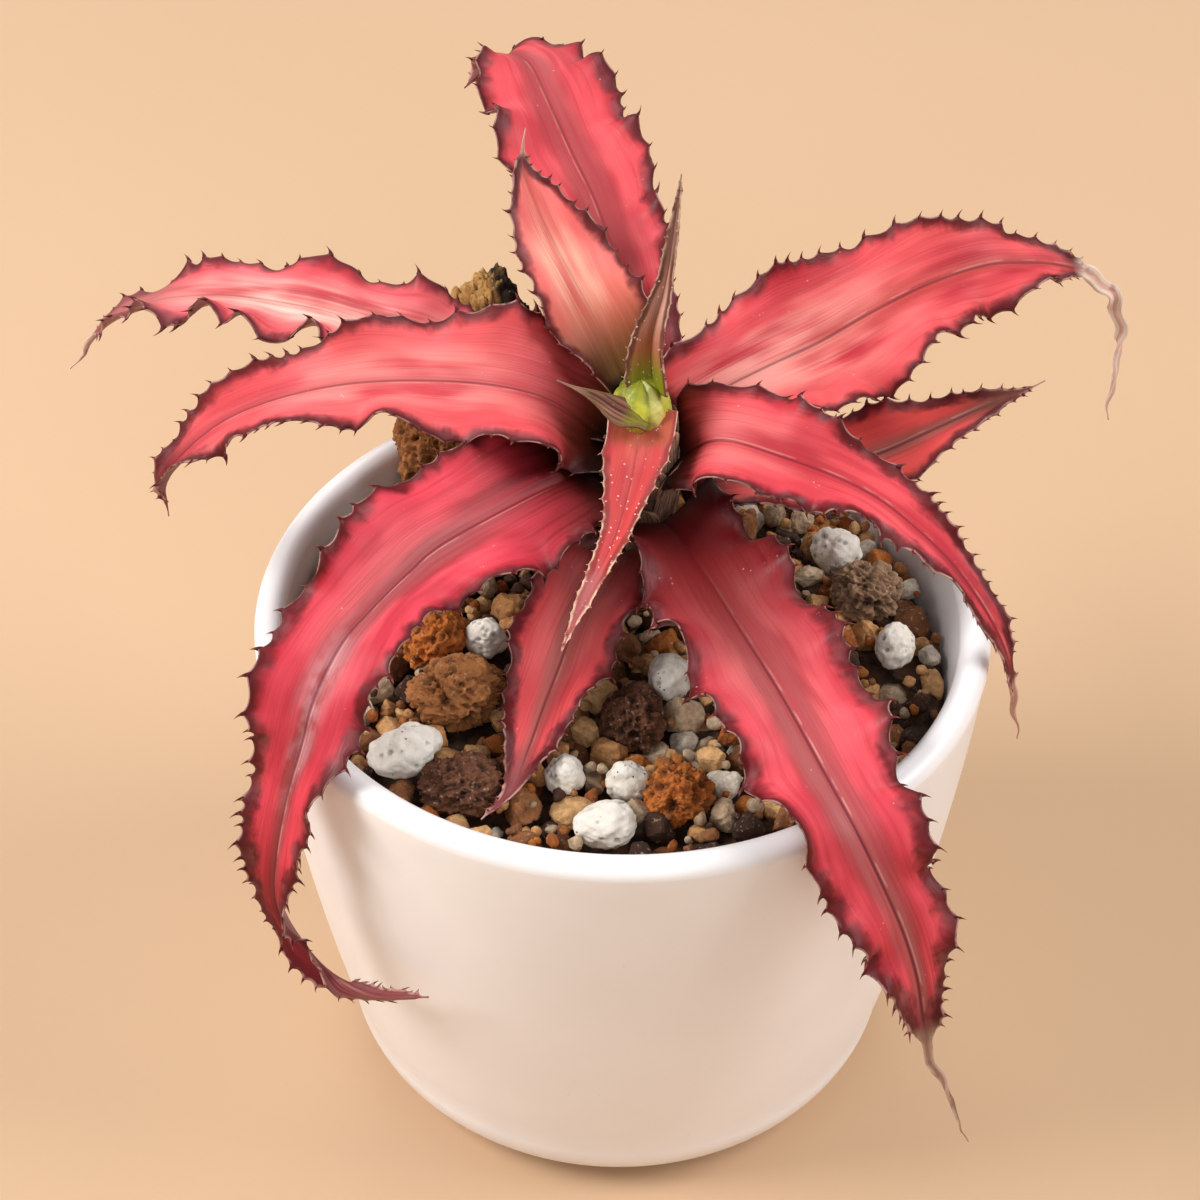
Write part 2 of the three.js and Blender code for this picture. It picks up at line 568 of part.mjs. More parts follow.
// A leaf: a thin blade that follows its midrib, folded and ruffled, with hooked teeth.
// grow swells it evenly, for cutting a neighbour clear of it.
function leafSolid(leaf, grow = 0) {
  const curve = midribCurve(leaf);
  const length = curve.getLength();
  const segments = Math.max(6, Math.round(length / BLADE.pitch));
  const skin = new Skin();

  const pair = (u, lane, outward = 0) => {
    const frame = bladeFrame(leaf, curve, u);
    const centre = bladePoint(leaf, frame, u, length, lane);
    centre.addScaledVector(frame.across, Math.sign(lane) * (grow + outward));
    const thick = BLADE.margin + (BLADE.rib - BLADE.margin) * (1 - Math.abs(lane)) * (1 - u);
    const offset = thick / 2 + grow;
    return {
      top: skin.point(centre.clone().addScaledVector(frame.up, offset)),
      under: skin.point(centre.clone().addScaledVector(frame.up, -offset)),
    };
  };

  const toothTip = (u, lane) => {
    const frame = bladeFrame(leaf, curve, u);
    const half = halfWidth(leaf, u);
    const size = leaf.tooth * Math.min(1, 0.35 + half / 4) + grow;
    const tip = bladePoint(leaf, frame, u, length, lane);
    tip.addScaledVector(frame.across, Math.sign(lane) * (size + grow));
    tip.addScaledVector(frame.along, BLADE.hook * (size / BLADE.tooth));
    tip.addScaledVector(frame.up, size * 0.25);
    return skin.point(tip);
  };

  const rows = Array.from({ length: segments + 1 }, (_, i) => {
    const u = i / segments;
    return { u, lanes: BLADE.lanes.map((lane) => pair(u, lane)) };
  });

  for (let i = 0; i < segments; i += 1) {
    const near = rows[i];
    const far = rows[i + 1];
    const toothed = leaf.tooth > 0 && far.u <= leaf.end && i > 0;
    for (let k = 1; k < BLADE.lanes.length - 2; k += 1) {
      const [a, b, c, d] = [near.lanes[k], far.lanes[k], far.lanes[k + 1], near.lanes[k + 1]];
      skin.fan(a.top, b.top, c.top, d.top);
      skin.fan(a.under, d.under, c.under, b.under);
    }
    [-1, 1].forEach((side) => {
      const edge = side < 0 ? 0 : BLADE.lanes.length - 1;
      const inner = edge + (side < 0 ? 1 : -1);
      const put = (...corners) => skin.fan(...(side < 0 ? corners : corners.reverse()));
      const [a, b] = [near.lanes[edge], far.lanes[edge]];
      const [p, q] = [near.lanes[inner], far.lanes[inner]];
      if (!toothed) {
        put(a.top, b.top, q.top, p.top);
        put(p.under, q.under, b.under, a.under);
        put(a.under, b.under, b.top, a.top);
        return;
      }
      const root = pair(near.u + (far.u - near.u) * 0.5, BLADE.lanes[edge]);
      const tip = toothTip(near.u + (far.u - near.u) * 0.85, BLADE.lanes[edge]);
      put(q.top, p.top, a.top, root.top, b.top);
      put(b.under, root.under, a.under, p.under, q.under);
      put(root.top, tip, b.top);
      put(b.under, tip, root.under);
      put(a.under, root.under, root.top, a.top);
      put(root.under, tip, root.top);
      put(b.top, tip, b.under);
    });
  }

  const cap = (row, outward) => {
    for (let k = 0; k < BLADE.lanes.length - 1; k += 1) {
      const corners = [row.lanes[k].top, row.lanes[k + 1].top,
        row.lanes[k + 1].under, row.lanes[k].under];
      skin.fan(...(outward ? corners : corners.reverse()));
    }
  };
  cap(rows[0], true);
  cap(rows[segments], false);
  return solidFrom(skin.geometry());
}

// The rosette, in the stem's own frame: each piece is cut clear of those nearer the heart.
function rosette() {
  const heart = heartGeometry();
  const stem = turned(stemProfile(0), STEM.around);
  const group = new THREE.Group();
  group.position.set(STEM.x, STEM.y, 0);
  group.add(mesh("stem", stem, 0x5b4c42, 0.9));
  group.add(mesh("heart", heart, 0x9fbf3a, 0.5));
  const keepOut = [
    solidFrom(turned(stemProfile(GAP), STEM.around)),
    solidFrom(heart).translate([-HEART.x, -HEART.y, -HEART.bottom])
      .scale([1.1, 1.1, 1.1]).translate([HEART.x, HEART.y, HEART.bottom - GAP]),
  ];
  LEAVES.forEach((leaf) => {
    let solid = leafSolid(leaf);
    keepOut.forEach((inner) => {
      if (solid.intersect(inner).volume() > 0) {
        solid = solid.subtract(inner);
      }
    });
    solid = largestBody(solid);
    keepOut.push(leafSolid(leaf, GAP));
    group.add(mesh(leaf.name, geometryFrom(solid), leaf.colour, 0.45));
  });
  return group;
}

// The larger stones, each cut clear of the ones before it.
function stones() {
  const group = new THREE.Group();
  const room = roomOfPot();
  const keepOut = [];
  STONES.forEach((stone) => {
    const { colour, roughness } = STONE_KINDS[stone.kind];
    let solid = stoneSolid(stone).intersect(room);
    keepOut.forEach((other) => {
      if (solid.intersect(other).volume() > 0) {
        solid = solid.subtract(other);
      }
    });
    keepOut.push(stoneSolid(stone, GAP));
    group.add(mesh(stone.name, geometryFrom(largestBody(solid)), colour, roughness));
  });
  return group;
}

const plant = new THREE.Group();
plant.add(mesh("pot", potGeometry(), 0xf1ece4, 0.35));
plant.add(mesh("grit_bed", bedGeometry(), 0x7d5a3c, 0.95));
plant.add(stones());
plant.add(rosette());

export default plant;
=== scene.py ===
import math
from functools import cache
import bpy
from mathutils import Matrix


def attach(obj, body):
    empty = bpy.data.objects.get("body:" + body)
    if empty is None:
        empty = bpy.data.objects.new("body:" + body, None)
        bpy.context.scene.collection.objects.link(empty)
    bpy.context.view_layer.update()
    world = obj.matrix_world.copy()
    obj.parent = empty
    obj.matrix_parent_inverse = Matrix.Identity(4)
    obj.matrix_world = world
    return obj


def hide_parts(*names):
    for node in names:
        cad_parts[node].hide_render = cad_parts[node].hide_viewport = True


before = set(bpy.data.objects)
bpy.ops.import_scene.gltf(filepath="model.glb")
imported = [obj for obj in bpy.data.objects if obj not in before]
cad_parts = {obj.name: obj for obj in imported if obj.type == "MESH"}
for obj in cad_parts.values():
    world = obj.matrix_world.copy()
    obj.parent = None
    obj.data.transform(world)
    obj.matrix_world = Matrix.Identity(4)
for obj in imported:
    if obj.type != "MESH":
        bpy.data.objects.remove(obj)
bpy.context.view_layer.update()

from types import SimpleNamespace

import bpy
import numpy as np
from mathutils import Matrix, Vector
from mathutils.bvhtree import BVHTree

# An earth star in a white pot of stone grit. Sizes below are millimetres; make_piece turns
# them into metres. Z is up, the reference view looks along +Y.
MM = 0.001

POT = dict(height=78, rim=50, foot=40, corner=10, bulge=1.4, wall=4.2, floor=5)
BED = dict(at_wall=72.2, at_middle=73.8, lean=1.6, lean_to=150, depth=7.5)
STEM = dict(x=2.5, y=14.0, bottom=55.0, top=97.5, radius=4.7)
HEART = dict(x=-0.45, y=0.0, middle=100.9, radius=4.2, half_height=4.6)
# step: length of a row of faces; rib and margin: thickness there; full_half: half the width from
# which the ruffles have their full height; web: the widest gap that a margin spans between
# spines; crease and keel: depth and spread of the groove over the midrib and the ridge below it
BLADE = dict(step=0.38, rib=1.2, margin=0.42, scallop=0.07, full_half=7.5, tip=9.0, web=3.6,
    crease=(0.26, 0.42), keel=(0.3, 0.7))
# first: where the spines begin; gap: what is between them, with so much more for each millimetre
# of half width; the pairs are what each one draws its measures from
SPINE = dict(first=2.2, gap=1.35, gap_more=0.19, gaps=(0.7, 1.4), sizes=(0.65, 1.2),
    tilts=(-0.5, 0.8), hooks=(0.3, 0.8), rings=5, sides=6)

# name, centre, half sizes, turn in degrees, kind; the tall ones come last
STONES = [
    ("pumice_front", (-2.1, -36.0, 71.8), (4.1, 3.2, 3.0), 10, "pumice"),
    ("pumice_left", (-28.6, -24.2, 73.3), (5.0, 3.8, 3.6), 25, "pumice"),
    ("pumice_centre", (6.6, -9.2, 72.9), (3.5, 3.0, 3.2), 40, "pumice"),
    ("pumice_middle", (0.7, -28.0, 71.7), (3.0, 2.6, 3.0), 0, "pumice"),
    ("pumice_near", (-7.4, -27.3, 71.9), (2.8, 2.6, 2.8), 70, "pumice"),
    ("pumice_inner", (-18.4, -2.8, 73.8), (3.0, 2.6, 3.0), 15, "pumice"),
    ("pumice_right", (37.4, -1.0, 71.5), (3.1, 2.8, 3.0), 55, "pumice"),
    ("pumice_rear", (30.0, 18.0, 72.6), (4.0, 3.4, 3.4), 30, "pumice"),
    ("lava_left", (-22.0, -14.0, 74.1), (6.2, 5.0, 4.6), 20, "tan"),
    ("lava_inner_left", (-25.4, -3.4, 74.1), (4.6, 3.8, 4.0), 60, "orange"),
    ("lava_front_left", (-20.6, -29.7, 72.5), (4.8, 4.2, 3.4), 0, "dark"),
    ("lava_centre", (1.4, -17.0, 72.5), (4.6, 3.8, 3.4), 80, "dark"),
    ("lava_front_right", (7.4, -29.9, 71.6), (4.0, 3.4, 3.4), 35, "orange"),
    ("lava_rear_right", (34.0, 9.2, 72.5), (4.4, 4.0, 3.8), 10, "grey"),
    ("lava_back_low", (-26.6, 33.0, 79.6), (7.0, 6.0, 9.4), 40, "tan"),
    ("lava_back_tall", (-19.0, 39.4, 87.4), (9.4, 6.0, 18.6), -20, "ochre"),
]

# heading: the direction in which a leaf grows, in degrees. midrib: (out, to the side, height) of
# its points, from the stem's axis. end: the share of the length where the blade is drawn out to
# its tip or thread. thread: half its width there. widths: at even steps from the base to there.
# fold and roll: degrees at the base, the middle and the tip. wave: height and length of the
# ruffles, and where they start on the left and the right margin. frills: (side, height, spacing,
# start) of smaller ones. tooth: height of the spines. tuck: how far the base runs on into the
# stem. ribs: their height. bay: (side, place, spread, depth) of a hollow in a margin.
LEAF = dict(roll=(0, 0, 0), tooth=0, tuck=0, thread=0.8, ribs=0.025, rib_spacing=1.4, frills=(),
    bay=None)
LEAVES = [
    dict(name="leaf_centre_spike", heading=70, widths=[8.6, 8, 5.6, 3.5, 2.3, 1.6, 1], end=0.97,
        midrib=[(1, -1, 103.4), (3, 0, 110), (5, -1, 118), (6, -1.6, 126), (7, -2, 134)],
        fold=(50, 50, 30), wave=(0, 12, 0, 0), tooth=0.7),
    dict(name="leaf_centre_dry", heading=190, widths=[1.6, 4.8, 4.6, 3.5, 2.4, 1.5, 0.9], end=0.98,
        midrib=[(1.3, 4.6, 101.6), (4.4, 3.2, 103), (7.7, 1.9, 105.2), (12, 1, 107.5)],
        fold=(14, 16, 14), roll=(-16, -24, -12), wave=(0.3, 5, 0, 0.5), ribs=0.14,
        rib_spacing=0.9, tuck=1.0),
    dict(name="leaf_front_young", heading=-98, widths=[9.6, 7.6, 5, 3.6, 2.6, 1.9, 1.2], end=0.98,
        midrib=[(4.2, 0, 98.6), (9, -0.3, 95.8), (17, -1, 93.2), (24, -2.3, 92), (31, -3.9, 91),
                (37.5, -5.3, 89.4)],
        fold=(20, 30, 30), wave=(0.3, 14, 0, 0.4), tooth=0.8, tuck=4.4),
    dict(name="leaf_back_middle", heading=126, widths=[7.4, 11.8, 15, 13.6, 10.4, 6.6, 1.4],
        end=0.9,
        midrib=[(5, 0, 101.5), (10, 0.4, 107.7), (15.2, 1, 113), (19.3, 1.2, 116.4),
                (23.3, 1.3, 120.3), (27.3, 0.8, 124.4), (30.6, -2, 128)],
        fold=(30, 16, 16), wave=(0.8, 13, 0.1, 0.5), tooth=1.3),
    dict(name="leaf_back_tall", heading=100, widths=[9, 11.5, 14.6, 18, 18, 13.6, 2], end=0.99,
        midrib=[(4.5, 0, 97), (10, -1, 104.4), (17, 0, 110), (23, 1, 112.6), (30, 2, 114.8),
                (37, 3.6, 117), (43, 4.8, 118.8), (51, 6, 120.2), (56.6, 7, 120.6),
                (60.8, 9.2, 119.6), (62.4, 12.4, 117.2), (62.8, 15.6, 113.6)],
        fold=(30, 14, 20), wave=(1.8, 14, 0, 0.45), tooth=1.5,
        frills=((1, 1.0, 8, 0.4), (-1, 0.7, 6.5, 0))),
    dict(name="leaf_right_upper", heading=25, widths=[13, 18.5, 21.4, 19.4, 14, 9.6, 1.8],
        end=0.67,
        midrib=[(5, 0, 96), (10, 0, 99.4), (17.6, 0, 101.6), (26.4, 0, 103.6), (34.1, 0, 106.2),
                (42.8, 0, 108.4), (51.7, 0, 109), (58, 0, 107.7), (63.6, 0, 105.8),
                (69.7, 0, 102.4), (74.6, 0, 96.7), (76.6, 0, 89), (76.6, 0, 81), (76.4, 0, 74.4)],
        fold=(26, 16, 20), roll=(30, 28, 10), wave=(2, 21, 0.1, 0.6), tooth=1.5, thread=1.3,
        frills=((-1, 1.5, 10.5, 0.1), (1, 0.4, 7, 0))),
    dict(name="leaf_left_rear", heading=158, widths=[12, 15, 17, 17.2, 14.6, 9.4, 1.6], end=0.9,
        midrib=[(5.4, -1, 94), (12, -1.6, 98.2), (22, -1, 100.6), (31.5, 0.4, 102.3),
                (43.5, 0.8, 103.4), (51, 1.4, 103.8), (59.8, 2.2, 103.4), (67.2, 3.2, 102),
                (73.2, 4.1, 99.8), (80, 5.9, 95.4), (86, 6.3, 86)],
        fold=(26, 14, 20), roll=(-4, 2, 2), wave=(1.2, 15, 0.5, 0.1), tooth=1.7,
        frills=((1, 1.5, 8.4, 0.2), (-1, 0.3, 6, 0))),
    dict(name="leaf_left", heading=185, widths=[15, 20, 18, 14.4, 10, 7, 1.6], end=0.97,
        midrib=[(5.4, -1, 94), (10, -1, 99.6), (15.6, -0.2, 103.8), (24.6, 0.2, 106.3),
                (37, 0.2, 106.9), (47.1, 0.4, 105.4), (55.7, 0.4, 101.8), (62.1, 0.4, 96),
                (65, 0.1, 91), (64.8, -0.8, 85)],
        fold=(26, 22, 30), roll=(-28, -24, -10), wave=(1.9, 17, 0.4, 0.1), tooth=1.4,
        frills=((1, 1.1, 11, 0.3), (-1, 0.3, 6, 0))),
    dict(name="leaf_right_front", heading=-22, widths=[13.6, 16.4, 12.8, 8.6, 5.6, 4, 1.6],
        end=0.86,
        midrib=[(5, 1, 92.6), (11, 0.1, 98.2), (19.8, -0.3, 98.5), (28.5, -0.5, 97.5),
                (34.4, -0.9, 95.9), (39.6, -2, 93.8), (44.2, -3, 91.2), (48, -3.8, 87.8),
                (51.2, -4.2, 83.8), (53.8, -4.2, 78.8), (55.4, -3.2, 71.4), (56.8, -2.6, 62.6)],
        fold=(26, 22, 20), roll=(25, 20, 0), wave=(1.3, 17, 0, 0.5), tooth=1.4,
        frills=((-1, 0.9, 9, 0), (1, 0.4, 6, 0.3))),
    dict(name="leaf_left_front", heading=226, widths=[15, 20.5, 18.5, 13, 7.6, 3.8, 1.4], end=0.98,
        midrib=[(6, -2.6, 90.6), (10, -2.6, 92.8), (18.5, -2.4, 94.8), (34, -3.2, 95.2),
                (40.8, -2.8, 94.4), (48, -2.2, 92.8), (53.6, -1.8, 90.6), (59.6, -0.3, 86.4),
                (62.4, 0.2, 81), (65.4, -0.1, 73), (67.4, -0.6, 64), (67.9, -1, 55.4),
                (67, 0.8, 49), (66, 5.6, 44.6), (64.8, 12, 44.6), (63.6, 18, 47.6),
                (63.2, 23, 51.4)],
        fold=(24, 20, 60), roll=(-24, -18, 0), wave=(1.9, 21, 0, 0.4), tooth=1.6,
        frills=((1, 1.2, 13, 0.2), (-1, 0.4, 6, 0)), bay=(1, 40, 13, 0.38)),
    dict(name="leaf_right_rear", heading=8, widths=[9, 12.4, 14, 13.4, 10.4, 5.2, 1.2], end=0.96,
        midrib=[(5.6, 0, 85.4), (9, 0.5, 87.6), (16.5, 0.5, 87.4), (26.2, 0, 87.5),
                (33.2, 0, 89.5), (40.3, 0.5, 92.4), (48.5, 1.4, 95.6), (56.3, 2.6, 98)],
        fold=(24, 16, 24), roll=(20, 20, 10), wave=(1, 14, 0, 0.5), tooth=1.3),
    dict(name="leaf_front_right", heading=-66, widths=[15, 19.4, 21, 19.6, 14.8, 10.6, 3],
        end=0.83,
        midrib=[(5.6, 0, 84), (9.4, 0, 86.6), (19, 0, 87), (29, 0, 86.2), (43.5, 0, 85),
                (56.2, 0, 82.5), (62, 0.3, 80.6), (65.6, 1.4, 77), (69, 3.8, 69.5),
                (70.5, 5.4, 64), (72.4, 6.4, 58.5), (73, 7.6, 51), (74, 8.4, 45.5), (76.8, 10, 40),
                (80, 12.3, 31)],
        fold=(24, 14, 14), wave=(1.9, 15, 0, 0.5), tooth=1.6,
        frills=((-1, 1.2, 9, 0.1), (1, 0.6, 6.5, 0))),
    dict(name="leaf_front", heading=-111, widths=[9.4, 13.8, 15, 13.2, 9, 4.2, 1.2], end=0.98,
        midrib=[(5.8, 0, 79.6), (10.4, 0, 82), (15.3, -0.8, 81), (22.2, -1, 79.6),
                (29.7, -0.4, 78), (36, 0, 76.6), (42.7, 0.6, 75.2), (49.3, 1, 74.2),
                (54.5, -1, 73.2)],
        fold=(24, 20, 30), wave=(1.2, 13, 0, 0.4), tooth=1.3),
]
LEAVES = [{**LEAF, **leaf} for leaf in LEAVES]

# How each leaf is coloured, over a common default. Colours are sRGB bytes, widths are
# millimetres, other numbers are shares of the leaf's length or strengths. The pale glow, given by
# its strength, middle and spread, is a painted highlight in a creamy colour. The silvery patch on
# the stripe, given the same way, is a painted sheen. The crease colours are painted shade in the
# midrib's groove and a painted highlight beside it. The skirt's lighter colour is partly the
# border's own grey and partly a painted sheen.
LOOK = dict(bright=(226, 80, 92), deep=(178, 36, 52), painted_highlight=(0.25, 0.3, 0.3),
    painted_highlight_colour=(252, 190, 176), stripe=(168, 86, 88), stripe_half=0.28, stripe_share=0.6,
    stripe_from=0.1, painted_sheen=(0.0, 0.5, 0.2), crease=0.6, base=(108, 24, 28), base_end=0.2,
    flush=(150, 80, 50), flush_end=0.1, flush_share=0.0, dark_end=0.08, margin=1.1,
    skirt=(90, 18, 24), tip=(110, 32, 38), tip_from=0.94, dry=(206, 170, 148),
    dry_core=(168, 104, 88), scurf=0.3, scurf_tip=0.0, horn=(78, 14, 18), tooth_tip=(144, 74, 54),
    rim=(226, 180, 166), rim_share=0.5, grooves=0.0, groove=(62, 36, 28),
    painted_sheen_colour=(216, 176, 182), line=(110, 30, 42), crease_painted_shade=(84, 26, 36),
    crease_painted_highlight=(216, 152, 146), skirt_grey_and_sheen=(190, 120, 124), scurf_colour=(244, 214, 204),
    under_dark=(128, 62, 68), under_light=(172, 124, 120), under_base=(74, 46, 34),
    dry_dark=(110, 66, 54), dry_blotch=(112, 62, 54), shadow=(40, 19, 14))
LOOKS = {
    "leaf_centre_spike": dict(bright=(206, 160, 144), deep=(160, 114, 98), stripe=(172, 128, 110),
        painted_highlight=(0.0, 0.3, 0.3), flush=(164, 92, 46), flush_end=0.42, flush_share=0.8,
        base=(128, 130, 28), base_end=0.22, dark_end=0.0, scurf=1.2, margin=0.45,
        tooth_tip=(220, 186, 150), rim=(232, 204, 180), skirt=(118, 66, 44), tip=(158, 122, 110),
        tip_from=0.6, horn=(92, 50, 34)),
    "leaf_centre_dry": dict(bright=(156, 104, 78), deep=(104, 62, 46), stripe=(134, 86, 64),
        painted_highlight=(0.0, 0.3, 0.3), base=(124, 116, 36), base_end=0.26, dark_end=0.0, scurf=0.6,
        margin=0.15, skirt=(96, 62, 46), tip=(150, 112, 96), tip_from=0.7, crease=0.2,
        rim_share=0.12, grooves=0.85, horn=(104, 78, 44)),
    "leaf_front_young": dict(bright=(212, 78, 74), deep=(188, 56, 60), painted_highlight=(0.4, 0.12, 0.3),
        painted_highlight_colour=(216, 120, 98), stripe=(206, 92, 88), stripe_share=0.3, base=(176, 84, 62),
        base_end=0.06, dark_end=0.0, scurf=0.9, scurf_tip=0.7, margin=0.5,
        tooth_tip=(236, 200, 160), rim=(240, 208, 176), rim_share=0.7, skirt=(136, 40, 50),
        tip=(178, 104, 104), tip_from=0.62, crease=0.3, horn=(146, 58, 54)),
    "leaf_back_middle": dict(bright=(238, 120, 114), deep=(212, 78, 82), base=(104, 66, 22),
        base_end=0.34, flush=(172, 98, 60), flush_end=0.5, flush_share=0.6, dark_end=0.06,
        painted_highlight=(0.9, 0.5, 0.42), painted_highlight_colour=(254, 200, 172), stripe_share=0.25,
        stripe=(214, 132, 106), crease=0.25, dry=(176, 140, 124), margin=0.9),
    "leaf_back_tall": dict(bright=(222, 80, 88), deep=(170, 40, 52), stripe=(156, 70, 72),
        stripe_share=0.85, stripe_half=0.3, skirt=(96, 32, 38), crease=0.4),
    "leaf_right_upper": dict(bright=(230, 90, 94), stripe=(186, 84, 74), stripe_share=0.7,
        stripe_half=0.16, stripe_from=0.3, painted_highlight=(0.6, 0.25, 0.42), margin=0.9, base=(150, 44, 40),
        base_end=0.08, dark_end=0.05, tip_from=0.97, dry=(236, 216, 202),
        dry_core=(200, 144, 128)),
    "leaf_left_rear": dict(bright=(240, 106, 112), painted_highlight=(1.0, 0.55, 0.4), margin=0.9,
        painted_highlight_colour=(252, 206, 190), stripe=(214, 130, 122), stripe_share=0.3, skirt=(120, 40, 48),
        dry=(214, 190, 178), tip=(166, 100, 98), tip_from=0.84, crease=0.25),
    "leaf_left": dict(bright=(234, 96, 100), deep=(204, 62, 72), stripe=(186, 84, 90),
        stripe_share=0.5, stripe_half=0.2, painted_highlight=(0.45, 0.42, 0.36), base=(104, 32, 24),
        base_end=0.24, tip_from=0.86),
    "leaf_right_front": dict(bright=(230, 84, 92), stripe=(186, 58, 66), stripe_share=0.7,
        painted_highlight=(0.22, 0.2, 0.2), base=(112, 30, 20), base_end=0.15, dry=(196, 160, 142)),
    "leaf_left_front": dict(bright=(222, 70, 86), deep=(170, 30, 46), stripe=(160, 86, 88),
        stripe_share=0.9, stripe_half=0.24, stripe_from=0.12, painted_sheen=(0.4, 0.5, 0.16),
        base=(84, 12, 10), tip=(112, 18, 28), tip_from=0.74, painted_highlight=(0.15, 0.34, 0.24)),
    "leaf_right_rear": dict(bright=(232, 84, 80), deep=(190, 56, 58), stripe=(146, 104, 92),
        stripe_share=0.9, stripe_half=0.24, tip=(124, 76, 62), tip_from=0.84, margin=1.0),
    "leaf_front_right": dict(stripe=(166, 90, 90), stripe_share=0.9, stripe_half=0.3, margin=1.5,
        base=(108, 18, 20), base_end=0.5, skirt=(92, 18, 24), crease=0.75, tip_from=0.95,
        dry=(178, 150, 130), dry_core=(128, 88, 70)),
    "leaf_front": dict(bright=(226, 84, 88), deep=(186, 50, 60), stripe=(174, 104, 96),
        stripe_share=0.9, base=(112, 32, 28), base_end=0.3, tip=(146, 76, 78), tip_from=0.8),
}


# Shapes.

def add_object(name, data):
    made = bpy.data.objects.new(name, data)
    bpy.context.scene.collection.objects.link(made)
    return made


def make_piece(name, points, faces, node, material, attributes=None):
    """A mesh piece from points in millimetres, riding on the only body in place of a CAD node."""
    mesh = bpy.data.meshes.new(name)
    mesh.from_pydata(np.asarray(points, float) * MM, [], faces)
    for key, values in (attributes or {}).items():
        if np.ndim(values) == 2:
            layer = mesh.attributes.new(key, "FLOAT_COLOR", "POINT")
            rgba = np.concatenate([values, np.ones((len(values), 1))], axis=1)
            layer.data.foreach_set("color", rgba.astype(np.float32).ravel())
        else:
            layer = mesh.attributes.new(key, "FLOAT", "POINT")
            layer.data.foreach_set("value", np.asarray(values, np.float32))
    mesh.shade_smooth()
    mesh.materials.append(material)
    piece = add_object(name, mesh)
    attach(piece, "root")
    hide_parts(node)


def wobble(points, seed, size, rounds=3):
    """Smooth noise from about -1 to 1 at points, its features about size across."""
    random = np.random.default_rng(seed)
    total = np.zeros(len(points))
    weight = 1.0
    full = 0.0
    for _ in range(rounds):
        for _ in range(5):
            direction = random.normal(size=3)
            direction *= math.tau / size / np.linalg.norm(direction)
            total += weight * np.sin(points @ direction + random.uniform(0, math.tau))
        full += weight * 2.2
        weight *= 0.55
        size *= 0.5
    return np.clip(total / full, -1, 1)


def ball(level):
    """Unit directions and triangles of an icosahedral ball split level times."""
    golden = (1 + math.sqrt(5)) / 2
    points = [(a, b * golden, 0) for a in (-1, 1) for b in (-1, 1)]
    points += [(0, a, b * golden) for a in (-1, 1) for b in (-1, 1)]
    points += [(b * golden, 0, a) for a in (-1, 1) for b in (-1, 1)]
    points = [Vector(p).normalized() for p in points]
    side = 1.06
    faces = []
    for i in range(12):
        for j in range(i + 1, 12):
            for k in range(j + 1, 12):
                a, b, c = points[i], points[j], points[k]
                if max((a - b).length, (b - c).length, (a - c).length) < side:
                    outward = (b - a).cross(c - a).dot(a + b + c) > 0
                    faces.append((i, j, k) if outward else (i, k, j))
    for _ in range(level):
        middles = {}

        def middle(i, j):
            key = (min(i, j), max(i, j))
            if key not in middles:
                points.append((points[i] + points[j]).normalized())
                middles[key] = len(points) - 1
            return middles[key]

        split = []
        for a, b, c in faces:
            ab, bc, ca = middle(a, b), middle(b, c), middle(c, a)
            split += [(a, ab, ca), (b, bc, ab), (c, ca, bc), (ab, bc, ca)]
        faces = split
    return np.array(points), np.array(faces)


def lathe(profile, around):
    """A closed solid turned round Z, from (radius, height) pairs that begin and end on it."""
    inner = profile[1:-1]
    angles = np.arange(around) * math.tau / around
    points = [(0, 0, profile[0][1])]
    for radius, height in inner:
        points += [(radius * math.cos(a), radius * math.sin(a), height) for a in angles]
    points.append((0, 0, profile[-1][1]))
    faces = []
    last = len(points) - 1
    for i in range(around):
        k = (i + 1) % around
        faces.append((0, 1 + k, 1 + i))
        for row in range(len(inner) - 1):
            a, b = 1 + row * around, 1 + (row + 1) * around
            faces.append((a + i, a + k, b + k, b + i))
        a = 1 + (len(inner) - 1) * around
        faces.append((a + i, a + k, last))
    return np.array(points), faces


def join(parts):
    """Several (points, faces, attributes) as one."""
    points, faces, attributes = [], [], {}
    start = 0
    for part_points, part_faces, part_attributes in parts:
        points.append(part_points)
        faces += [tuple(int(v) + start for v in face) for face in part_faces]
        for key, values in part_attributes.items():
            attributes.setdefault(key, []).append(values)
        start += len(part_points)
    return np.concatenate(points), faces, {k: np.concatenate(v) for k, v in attributes.items()}


def unit(vectors):
    return vectors / np.maximum(np.linalg.norm(vectors, axis=-1, keepdims=True), 1e-9)


def smooth_step(value, low, high):
    """0 at low, 1 at high and smooth between them."""
    share = np.clip((value - low) / (high - low), 0, 1)
    return share * share * (3 - 2 * share)


# The pot.

def arc(centre_r, centre_z, radius, start, stop, steps):
    angles = np.radians(np.linspace(start, stop, steps + 1))
    return [(centre_r + radius * math.cos(a), centre_z + radius * math.sin(a)) for a in angles]


def pot_radius(z):
    share = max(0.0, (z - POT["corner"]) / (POT["height"] - POT["corner"]))
    flare = POT["foot"] + (POT["rim"] - POT["foot"]) * share
    return flare + POT["bulge"] * 4 * share * (1 - share)


def pot_inner(z):
    return pot_radius(z) - POT["wall"]


def bed_level(x, y):
    reach = pot_inner(BED["at_wall"])
    share = min(1.0, math.hypot(x, y) / reach)
    side = math.radians(BED["lean_to"])
    lean = BED["lean"] * (x * math.cos(side) + y * math.sin(side)) / reach
    return BED["at_middle"] + (BED["at_wall"] - BED["at_middle"]) * share * share + lean


